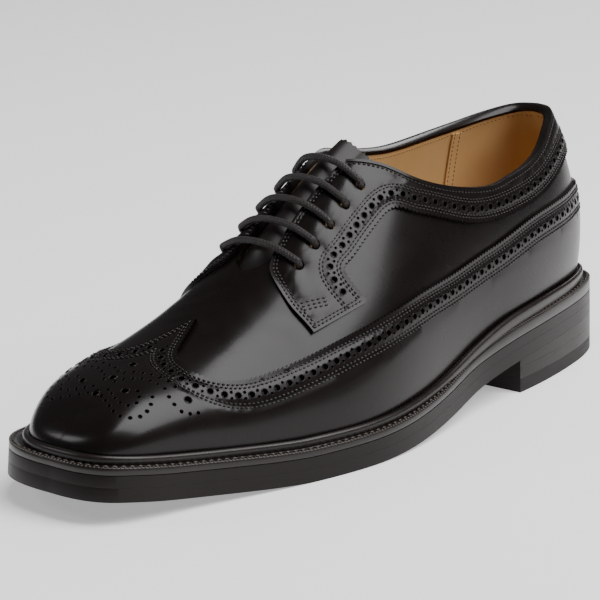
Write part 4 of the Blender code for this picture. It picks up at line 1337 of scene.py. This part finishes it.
    def trim(self, stem: str, slot: str, holes: Sequence[tuple[float, float, float]],
             rows: Sequence[np.ndarray]) -> None:
        """Set the rims of an overlay's holes and sew its rows.

        Args:
            stem: what the two pieces' names begin with.
            slot: their material slot.
            holes: share along, share round and radius of each.
            rows: pattern lines of the stitching.
        """
        rims = self.rims.punch(stem + "_punch_rims", holes, OVERLAY_TOP - self.brogue.rim_sink,
                               self.finishes.upper)
        settle(rims, slot)
        s = self.stitch
        seam = self.rows.lay(stem + "_stitches", [on_last(row, OVERLAY_TOP) for row in rows],
                             self.finishes.thread, s.pitch, s.length, s.width, s.height)
        settle(seam, slot)

    def build_facing(self, side: Side) -> None:
        """One facing with its tab and collar band, stitched and punched.

        Args:
            side: of the foot.
        """
        b = self.brogue
        lateral = side is Side.LATERAL
        turn = (lambda line: np.asarray(line, float)) if lateral else mirrored
        hand = 1.0 if lateral else -1.0
        collar = through(COLLAR_LATERAL if lateral else COLLAR_MEDIAL)
        rear = turn(through(FACING_REAR))
        front = turn(np.vstack([through(FACING_EDGE), through(THROAT_CORNER)[1:]]))
        tab = turn(through(TAB_END))
        seam = 0.0006
        cut = pinked(rear, hand)
        loop = ring_of(np.c_[np.maximum(collar[:, 0], seam), collar[:, 1]], front, tab,
                       np.c_[np.maximum(cut[:, 0], seam), cut[:, 1]])
        line = LAST.spaced(rear, ROW_STEP)
        rows = [row[3:-1] for row in b.seams(line, hand)]
        rim = LAST.spaced(collar, ROW_STEP)
        rows.append(LAST.moved(rim, -1.9 * MM * hand)[1:-1])
        edge = LAST.spaced(np.vstack([front, tab]), ROW_STEP)
        rows.append(LAST.moved(edge, -1.5 * MM * hand)[2:-2])
        rows.append(LAST.moved(edge, -2.7 * MM * hand)[3:-3])
        tack = LAST.spaced(turn(TACK_ROW), 0.6 * MM)
        rows += [LAST.moved(tack, shift * hand) for shift in (0.0, 1.5 * MM, 3.0 * MM)]
        rows = [row for row in (self.trimmed(row, loop) for row in rows) if len(row) > 3]
        middle = LAST.moved(line, -b.hole_row * hand)[5:]
        holes = b.punching(middle)
        good = inside(np.array([hole[:2] for hole in holes]), loop)
        holes = [hole for hole, fine in zip(holes, good) if fine]
        dents = np.vstack([LAST.spaced(row, DENT_STEP) for row in rows])
        outlines = self.eyelets(side) + hole_outlines(holes)
        name = "facing_" + side.value
        piece = leather_piece(name + "_leather", loop, OVERLAY_FOOT, OVERLAY_THICKNESS,
                              self.finishes.upper, outlines, dents=dents,
                              dent_depth=0.30 * MM, form=self.pucker)
        settle(piece, "facing_leather", name)
        self.trim(name, "facing_leather", holes, rows)

    @staticmethod
    def pucker(u: np.ndarray, v: np.ndarray) -> np.ndarray:
        """Soft ridges of the facing between the laced eyelets, and the tab's crown."""
        across = 0.5 - np.abs(v - 0.5)
        pulled = sum(np.exp(-((u - place) / 0.0075) ** 2) for place in EYELET_STATIONS)
        window = (smooth(clipped((across - 0.285) / 0.030))
                  * smooth(clipped((0.397 - across) / 0.030)))
        laced = clipped((0.566 - u) / 0.010) * clipped((u - 0.425) / 0.010)
        crown = np.exp(-((u - 0.562) / 0.010) ** 2 - ((across - 0.305) / 0.035) ** 2)
        return MM * (0.55 * window * laced * clipped(1.0 - pulled) + 0.5 * crown)

    @staticmethod
    def trimmed(row: np.ndarray, loop: np.ndarray) -> np.ndarray:
        """The longest stretch of a row that stays on its piece."""
        good = inside(row, loop)
        best = (0, 0)
        start = None
        for k, fine in enumerate([*good, False]):
            if fine and start is None:
                start = k
            if not fine and start is not None:
                best = max(best, (k - start, start))
                start = None
        return row[best[1]:best[1] + best[0]]

    def build_tongue(self) -> None:
        """Tongue with a pinked top, close under the facings and between the lace's runs."""
        level = UPPER_WALL + SEAT_GAP + TONGUE_THICKNESS
        low, high = 0.5 - TONGUE_HALF, 0.5 + TONGUE_HALF
        top = pinked(np.array([(TONGUE_TOP, high), (TONGUE_TOP, low)]), -1.0, 2.4 * MM, 0.8 * MM)
        corners = [(TONGUE_TOP, low), (TONGUE_FRONT, low + 0.03),
                   (TONGUE_FRONT, high - 0.03), (TONGUE_TOP, high)]
        sides = [LAST.spaced(np.array(pair), EDGE_STEP) for pair in zip(corners, corners[1:])]
        loop = ring_of(*sides, top)
        tongue = leather_piece("tongue_leaf", loop, -level, TONGUE_THICKNESS,
                               self.finishes.tongue, form=self.tongue_swell)
        settle(tongue, "tongue_leather", "tongue")

    @staticmethod
    def tongue_swell(u: np.ndarray, v: np.ndarray) -> np.ndarray:
        """The tongue swells up into the slot between the facings."""
        across = clipped(1.0 - ((v - 0.5) / 0.080) ** 2) ** 1.5
        along = clipped((0.572 - u) / 0.030) ** 2
        return 3.1 * MM * across * along

    def build_binding(self) -> None:
        """The topline: a folded edge round the collar that covers the cut leathers."""
        lateral = LAST.spaced(through(COLLAR_LATERAL)[::-1], ROW_STEP)
        medial = LAST.spaced(through(COLLAR_MEDIAL), ROW_STEP)
        even = np.vstack([lateral, medial[1:]])
        even[:, 0] = np.maximum(even[:, 0], 0.0)
        u, v = even.T
        place = LAST.point(u, v)
        out = LAST.normal(u, v)
        run = np.gradient(place, axis=0)
        run /= np.linalg.norm(run, axis=1)[:, None]
        up = np.cross(out, run)
        up /= np.linalg.norm(up, axis=1)[:, None]
        up *= np.sign(up[:, 2])[:, None]
        top = OVERLAY_TOP
        section = ((-1.2 * MM, top + 0.25 * MM), (0.0, top + 0.3 * MM), (0.55 * MM, top * 0.5),
                   (0.6 * MM, -0.4 * MM), (0.35 * MM, -1.6 * MM), (0.0, -2.35 * MM),
                   (-1.5 * MM, -2.3 * MM), (-1.5 * MM, -1.0 * MM), (-1.0 * MM, -0.2 * MM))
        vertices = [place[k] + up[k] * rise + out[k] * lift
                    for k in range(len(even)) for rise, lift in section]
        rim = mesh_object("collar_binding", SOLE.to_frame(np.array(vertices)),
                          tube_faces(len(even), len(section)), self.finishes.upper, 60.0)
        settle(rim, "facing_leather")

    def build(self) -> None:
        """Make every piece of the upper."""
        self.build_body()
        self.build_wing()
        for side in Side:
            self.build_facing(side)
        self.build_tongue()
        self.build_binding()


@dataclass
class Bottoming:
    """Outsole, midsole, storm welt and heel."""

    finishes: Finishes
    rows: RowTree
    edge_round: float = 0.06 * MM
    ring_points: int = 150
    welt_pitch: float = 3.3 * MM

    def plate(self, name: str, ring: np.ndarray, low: Callable, high: Callable,
              levels: tuple[float, float], material: bpy.types.Material) -> bpy.types.Object:
        """A flat or sprung layer with softly rounded edges.

        Args:
            name: the piece's name.
            ring: its outline, points (x, y).
            low: height of its lower face at y.
            high: height of its upper face at y.
            levels: depths over the underside that the outline leans with.
            material: what it is dressed in.

        Returns:
            The piece.
        """
        soft = self.edge_round
        side = outward(ring)
        profile = ((-soft, 0.0), (-0.3 * soft, 0.3), (0.0, 1.0), (0.0, -1.0), (-0.3 * soft, -0.3),
                   (-soft, 0.0))
        vertices: list = []
        for k, (inset, step) in enumerate(profile):
            bottom = k < 3
            xy = SOLE.leaned(ring + side * inset, levels[0] if bottom else levels[1])
            z = low(xy[:, 1]) if bottom else high(xy[:, 1])
            vertices += np.c_[xy, z + step * soft].tolist()
        count = len(ring)
        faces = sheet_faces(len(profile), count)
        for k, height in ((0, low), (len(profile) - 1, high)):
            faces += self.cap(vertices, k * count, count, height)
        return mesh_object(name, SOLE.to_frame(np.array(vertices)), faces, material, 20.0)

    @staticmethod
    def cap(vertices: list, first: int, count: int, height: Callable) -> list:
        """Close a ring of a plate with a lattice that follows the sole's spring."""
        ring = np.array(vertices[first:first + count])
        low, high = ring.min(0), ring.max(0)
        lattice = np.array([(x, y) for x in np.arange(low[0], high[0], 7 * MM)
                            for y in np.arange(low[1], high[1], 5 * MM)])
        lattice = lattice[inside(lattice, ring[:, :2])]
        gap = np.linalg.norm(lattice[:, None] - ring[None, :, :2], axis=2).min(1)
        lattice = lattice[gap > 2 * MM]
        points = [Vector(p) for p in np.vstack([ring[:, :2], lattice])]
        found = delaunay_2d_cdt(points, chained([ring], True), [], 0, 1e-9)
        where = np.array([tuple(p) for p in found[0]])
        base = len(vertices)
        z = height(lattice[:, 1])
        vertices += np.c_[lattice, z].tolist()
        faces = []
        for face in found[2]:
            centre = where[list(face)].mean(axis=0)
            if inside(centre[None, :], ring[:, :2])[0]:
                faces.append(tuple(first + i if i < count else base + i - count for i in face))
        return faces

    def build_soles(self) -> None:
        """Outsole and midsole, their edges trimmed together."""
        ring = SOLE.ring(self.ring_points)
        middle = OUTSOLE_THICKNESS + SEAT_GAP / 2.0
        top = OUTSOLE_THICKNESS + MIDSOLE_THICKNESS + SEAT_GAP
        for name, low, high in (("outsole", 0.0, middle), ("midsole", middle, top)):
            layer = self.plate("leather_" + name, ring, self.sprung(low), self.sprung(high),
                               (low, high), self.finishes.edge)
            settle(layer, name + "_leather", name)
        inner = SOLE.ring(220)
        path = inner - outward(inner) * 6.0 * MM
        path = path[path[:, 1] > HEEL_LENGTH + 4 * MM]
        path = path[np.argsort(np.where(path[:, 0] > 0, path[:, 1], 2.0 - path[:, 1]))]
        seam = self.rows.lay(
            "outsole_stitches",
            [SOLE.to_frame(np.c_[path, SOLE.deck(path[:, 1], 0.0) + 0.34 * MM])],
            self.finishes.welt_thread, 4.0 * MM, 3.2 * MM, 1.1 * MM, 0.6 * MM)
        settle(seam, "outsole_leather")

    @staticmethod
    def sprung(depth: float) -> Callable:
        """A face that lies a depth above the sole's underside."""
        return lambda y: SOLE.deck(y, depth)

    @staticmethod
    def level(height: float) -> Callable:
        """A face that is level at a height."""
        return lambda y: np.full(np.shape(y), height)

    def heel_ring(self) -> np.ndarray:
        """Outline of the heel, cut straight at the breast."""
        ring = SOLE.ring(self.ring_points * 2)
        ring = ring[ring[:, 1] < HEEL_LENGTH]
        jump = int(np.argmax(np.linalg.norm(np.diff(ring, axis=0), axis=1)))
        lateral, medial = ring[:jump + 1], ring[jump + 1:]
        edges = [SOLE.edge(side, np.linspace(0.1, 0.6, 800)) for side in Side]
        ends = [(np.interp(HEEL_LENGTH, edge[:, 1], edge[:, 0]), HEEL_LENGTH) for edge in edges]
        breast = np.linspace(ends[0], ends[1], 12)
        return np.vstack([lateral, breast, medial])

    def build_heel(self) -> None:
        """Two leather lifts and the top lift on the floor."""
        ring = self.heel_ring()
        first = TOP_LIFT_THICKNESS
        second = first + LIFT_THICKNESS + SEAT_GAP
        leather = self.finishes.heel
        lifts = (
            ("rubber_top_lift", self.level(0.0), self.level(first), self.finishes.top_lift,
             "top_lift_rubber", "top_lift"),
            ("leather_lift_lower", self.level(first), self.level(second), leather,
             "heel_leather", "heel_lift_lower"),
            ("leather_lift_upper", self.level(second), lambda y: SOLE.underside(y)[0], leather,
             "heel_leather", "heel_lift_upper"),
        )
        for name, low, high, material, slot, node in lifts:
            settle(self.plate(name, ring, low, high, (0.0, 0.0), material), slot, node)

    def welt_frame(self) -> tuple[np.ndarray, np.ndarray, np.ndarray]:
        """Feather places, points and level outward directions, once round."""
        t = crowd(np.linspace(0.0, 1.0, 181))
        places = np.vstack([np.c_[t, np.zeros(len(t))], np.c_[t[-2:0:-1], np.ones(len(t) - 2)]])
        point = LAST.point(places[:, 0], places[:, 1])
        return places, point, outward(point[:, :2])

    @staticmethod
    def wall_offset(places: np.ndarray, point: np.ndarray, normal: np.ndarray,
                    height: np.ndarray, lift: float) -> np.ndarray:
        """How far a layer lifted off the last stands outside the feather at a height."""
        steps = np.linspace(0.0, 0.16, 17)
        result = []
        for (u, v), foot, out, rise in zip(places, point, normal, height):
            rounds = steps if v < 0.5 else 1.0 - steps
            along = np.full(len(steps), u)
            line = LAST.point(along, rounds) + LAST.normal(along, rounds) * lift
            reach = ((line[:, :2] - foot[:2]) * out).sum(1)
            result.append(np.interp(rise, line[:, 2] - foot[2], reach))
        return np.array(result)

    def build_welt(self) -> None:
        """Storm welt: wheeled and stitched shelf, and the rounded lip at the upper."""
        places, point, normal = self.welt_frame()
        y = point[:, 1]
        lip = SOLE.along_blend(y, LIP_FORE, LIP_HEEL)
        bottom = OUTSOLE_THICKNESS + MIDSOLE_THICKNESS + SEAT_GAP * 1.2
        shelf = (OUTSOLE_THICKNESS + MIDSOLE_THICKNESS + 2 * SEAT_GAP
                 + SOLE.along_blend(y, WELT_FORE, WELT_HEEL))
        cover = OVERLAY_TOP + 0.05 * MM
        foot = self.wall_offset(places, point, normal, lip * 0.0, cover)
        half = self.wall_offset(places, point, normal, lip * 0.5, cover)
        top = self.wall_offset(places, point, normal, lip, cover)
        top = np.maximum(top, half * 2.0 - foot - 0.2 * MM)
        outline = SOLE.ring(400)
        edge = self.rays(outline, point[:, :2], normal)
        wide = np.linalg.norm(edge - point[:, :2], axis=1)
        w = LIP_WIDTH
        # Once round the section: reach from the feather, depth, rise over it, leans or not
        levels = [
            (wide - 0.3 * MM, bottom, 0.0, 1), (wide, bottom + 0.3 * MM, 0.0, 1),
            (wide, shelf - 0.5 * MM, 0.0, 1), (wide - 0.25 * MM, shelf - 0.1 * MM, 0.0, 1),
            (wide - 0.6 * MM, shelf, 0.0, 1), (wide - 2.3 * MM, shelf, 0.0, 1),
            (wide - 2.6 * MM, shelf - 0.35 * MM, 0.0, 1),
            (foot + w + 0.5 * MM, shelf - 0.2 * MM, 0.0, 0), (foot + w, shelf, 0.0, 0),
            (half + w * 1.02, shelf, lip * 0.45, 0),
            (half * 0.5 + top * 0.5 + w, shelf, lip * 0.7, 0),
            (top + w * 0.82, shelf, lip * 0.93, 0), (top + w * 0.5, shelf, lip, 0),
            (top + w * 0.2, shelf, lip * 0.95, 0), (top, shelf, lip * 0.8, 0),
            (half, shelf, lip * 0.45, 0),
            (foot, shelf, 0.0, 0), (foot * 0.0 - WELT_UNDERLAP, shelf, 0.0, 0),
            (foot * 0.0 - WELT_UNDERLAP, bottom, 0.0, 0),
        ]
        rings = []
        for reach, depth, rise, leans in levels:
            xy = point[:, :2] + normal * np.asarray(reach)[:, None]
            depth = np.broadcast_to(depth, len(xy))
            if leans:
                xy = SOLE.leaned(xy, depth)
            rings.append(np.c_[xy, SOLE.deck(xy[:, 1], depth) + rise])
        welt = mesh_object("storm_welt_leather", SOLE.to_frame(np.concatenate(rings)),
                           sheet_faces(len(levels), len(point), closed=True),
                           self.finishes.welt, 60.0)
        settle(welt, "welt_leather", "storm_welt")
        self.build_welt_seams(rings)

    @staticmethod
    def rays(outline: np.ndarray, start: np.ndarray, way: np.ndarray) -> np.ndarray:
        """Where level rays from inside the sole meet its edge."""
        run = np.roll(outline, -1, axis=0) - outline
        result = []
        for begin, out in zip(start, way):
            cross = run[:, 0] * out[1] - run[:, 1] * out[0]
            cross = np.where(np.abs(cross) < 1e-12, 1e-12, cross)
            gap = begin - outline
            along = (gap[:, 0] * out[1] - gap[:, 1] * out[0]) / cross
            reach = (gap[:, 0] * run[:, 1] - gap[:, 1] * run[:, 0]) / cross
            good = (along >= 0) & (along <= 1) & (reach > 0)
            result.append(begin + out * reach[good].min())
        return np.array(result)

    def build_welt_seams(self, rings: list[np.ndarray]) -> None:
        """Welt stitches, wheel marks on the outer edge and the lip's seam.

        Args:
            rings: the welt's section lines, outer edge first.
        """
        closed = [np.vstack([ring, ring[:1]]) for ring in rings]
        shelf = closed[5] * 0.4 + closed[4] * 0.6 + np.array([0.0, 0.0, 0.15 * MM])
        stitches = self.rows.lay("welt_stitches", [SOLE.to_frame(shelf)],
                                 self.finishes.welt_thread, self.welt_pitch,
                                 self.welt_pitch * 0.66, 0.95 * MM, 0.9 * MM)
        settle(stitches, "welt_leather")
        rim = closed[3] * 0.6 + closed[4] * 0.4
        marks = self.rows.lay("welt_wheel_marks", [SOLE.to_frame(rim)], self.finishes.wheeled,
                              1.6 * MM, 0.85 * MM, 1.15 * MM, 0.6 * MM)
        settle(marks, "welt_leather")
        seam = closed[14] * 0.7 + closed[13] * 0.3
        lip = self.rows.lay("lip_seam_stitches", [SOLE.to_frame(seam)], self.finishes.thread,
                            1.5 * MM, 1.2 * MM, 0.7 * MM, 0.5 * MM)
        settle(lip, "welt_leather")

    def build(self) -> None:
        """Make every piece under the upper."""
        self.build_soles()
        self.build_heel()
        self.build_welt()


@dataclass
class Lacing:
    """One round waxed lace in five bars."""

    finishes: Finishes
    sides: int = 14
    smooth_steps: int = 5
    thickness: float = 2.8 * MM

    def route(self) -> np.ndarray:
        """Line of the lace: bar over, down an eyelet, along under, up the next."""
        radius = self.thickness / 2.0
        over = OVERLAY_TOP + radius + LACE_GAP
        under = -(UPPER_WALL + radius + LACE_GAP)
        bend = radius * 1.25
        route = []
        side = 1
        stations = list(EYELET_STATIONS)[::-1]
        for k, station in enumerate(stations):
            near = EYELET_ROUND if side > 0 else 1.0 - EYELET_ROUND
            far = 1.0 - near
            along, around = LAST.tangents(np.array([station]), np.array([near]))
            turn_in = bend / np.linalg.norm(around[0]) * side
            turn_on = bend / np.linalg.norm(along[0])
            if k == 0:
                route.append((station - turn_on * 2.5, near, under))
            route += [(station + turn_on * (0.3 if k else -0.3), near, under + bend * 0.30),
                      (station, near, under + bend), (station, near, over - bend),
                      (station, near + turn_in * 0.3, over - bend * 0.30),
                      (station, near + turn_in, over)]
            for share in (0.25, 0.5, 0.75):
                route.append((station, near + (far - near) * share, over + 0.3 * MM))
            route += [(station, far - turn_in, over),
                      (station, far - turn_in * 0.3, over - bend * 0.30),
                      (station, far, over - bend), (station, far, under + bend),
                      (station - turn_on * 0.3, far, under + bend * 0.30),
                      (station - turn_on, far, under)]
            if k == len(stations) - 1:
                route.append((station - turn_on * 1.5, far, under))
            else:
                route.append((stations[k + 1] + turn_on, far, under))
            side = -side
        table = np.array(route)
        return LAST.lifted(table[:, 0], table[:, 1], table[:, 2])

    def build(self) -> None:
        """Sweep the lace along its route, with a UV map for the braid."""
        line = through(self.route(), self.smooth_steps)
        run = np.gradient(line, axis=0)
        run /= np.linalg.norm(run, axis=1)[:, None]
        side = np.zeros_like(run)
        side[0] = np.cross(run[0], (0.0, 0.0, 1.0))
        side[0] /= np.linalg.norm(side[0])
        for k in range(1, len(line)):
            carried = side[k - 1] - run[k] * (side[k - 1] @ run[k])
            side[k] = carried / np.linalg.norm(carried)
        up = np.cross(run, side)
        radius = self.thickness / 2.0
        angle = 2 * np.pi * np.arange(self.sides) / self.sides
        rings = [p + radius * (np.cos(angle)[:, None] * s + np.sin(angle)[:, None] * n)
                 for p, s, n in zip(line, side, up)]
        lace = mesh_object("waxed_round_lace", SOLE.to_frame(np.concatenate(rings)),
                           tube_faces(len(line), self.sides), self.finishes.lace, 60.0)
        self.map_braid(lace, SOLE.to_frame(line))
        settle(lace, "waxed_lace", "lace")

    def map_braid(self, lace: bpy.types.Object, line: np.ndarray) -> None:
        """Give each corner its distance along the lace in diameters and its turn.

        Args:
            lace: the swept piece.
            line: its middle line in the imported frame.
        """
        length = np.r_[0.0, np.cumsum(np.linalg.norm(np.diff(line, axis=0), axis=1))]
        tree = near_tree(line)
        layer = lace.data.uv_layers.new(name="braid")
        for face in lace.data.polygons:
            for corner in face.loop_indices:
                vertex = lace.data.loops[corner].vertex_index
                _, i, _ = tree.find(lace.data.vertices[vertex].co)
                order = vertex % self.sides
                layer.data[corner].uv = (length[i] / LACE_DIAMETER, order / self.sides)


@dataclass
class Studio:
    """Camera, floor and soft boxes."""

    camera_place: tuple[float, float, float] = (0.71553, -0.80516, 0.33562)
    look_at: tuple[float, float, float] = (-0.019606, 0.005, 0.044213)
    roll: float = 0.0249
    focal_px: float = 2800.0
    frame_px: float = 600.0
    sensor_mm: float = 36.0

    def build_camera(self) -> None:
        """Long-lens camera at the photograph's angle."""
        camera = bpy.data.cameras.new("photo_camera")
        camera.sensor_width = self.sensor_mm
        camera.lens = self.focal_px / self.frame_px * self.sensor_mm
        camera.clip_end = 50.0
        thing = linked("photo_camera", camera)
        place = Vector(self.camera_place)
        ahead = (Vector(self.look_at) - place).normalized()
        right = ahead.cross(Vector((0.0, 0.0, 1.0))).normalized()
        down = ahead.cross(right)
        x = math.cos(self.roll) * right + math.sin(self.roll) * down
        y = -(-math.sin(self.roll) * right + math.cos(self.roll) * down)
        turn = Matrix((x, y, -ahead)).transposed()
        thing.matrix_world = Matrix.Translation(place) @ turn.to_4x4()
        bpy.context.scene.camera = thing

    @staticmethod
    def build_floor() -> None:
        """Pale floor under the shoe."""
        # Painted paper sweep: matt, and lit a little from within so that it stays pale.
        material, tree, shader = started("matt_white_sweep")
        feed(tree, shader, {
            "Base Color": linear("#f4f4f3"), "Roughness": 0.9, "Specular IOR Level": 0.1,
            "Emission Color": linear("#ffffff"), "Emission Strength": 0.42})
        work = bmesh.new()
        bmesh.ops.create_grid(work, x_segments=1, y_segments=1, size=8.0)
        mesh = bpy.data.meshes.new("studio_floor")
        work.to_mesh(mesh)
        work.free()
        mesh.materials.append(material)
        floor = linked("studio_floor", mesh)

    @staticmethod
    def box_light(name: str, place: Sequence[float], aim: Sequence[float],
                  size: tuple[float, float], power: float) -> None:
        """A rectangular soft box.

        Args:
            name: of the light.
            place: of its middle.
            aim: the point it faces.
            size: its width and height.
            power: in watts.
        """
        light = bpy.data.lights.new(name, "AREA")
        light.shape = "RECTANGLE"
        light.size, light.size_y = size
        light.energy = power
        thing = linked(name, light)
        way = Vector(aim) - Vector(place)
        thing.location = place
        thing.rotation_euler = way.to_track_quat("-Z", "Y").to_euler()

    def build(self) -> None:
        """Set up the stage."""
        self.build_camera()
        self.build_floor()
        world = bpy.data.worlds.new("grey_studio")
        world.use_nodes = True
        back = world.node_tree.nodes["Background"]
        back.inputs["Color"].default_value = (0.9, 0.92, 0.95, 1.0)
        back.inputs["Strength"].default_value = 0.10
        bpy.context.scene.world = world
        middle = (0.0, 0.0, 0.03)
        self.box_light("key_box", (0.70, 0.29, 1.42), middle, (1.1, 1.9), 46.0)
        self.box_light("toe_box", (-1.35, -1.10, 1.20), middle, (0.5, 0.6), 5.0)
        self.box_light("back_box", (-0.6, 1.6, 1.1), middle, (0.6, 0.6), 7.0)


def main() -> None:
    """Build the shoe's looks and the stage."""
    logging.basicConfig(level=logging.INFO, format="%(message)s")
    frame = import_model()
    finishes = Finishes()
    rows = RowTree()
    Bottoming(finishes, rows).build()
    UpperLeathers(finishes, rows, RimTree()).build()
    Lacing(finishes).build()
    insole = frame["nodes"]["insole"]
    insole.material_slots[0].material = finishes.insole
    Studio().build()


if __name__ == "__main__":
    main()
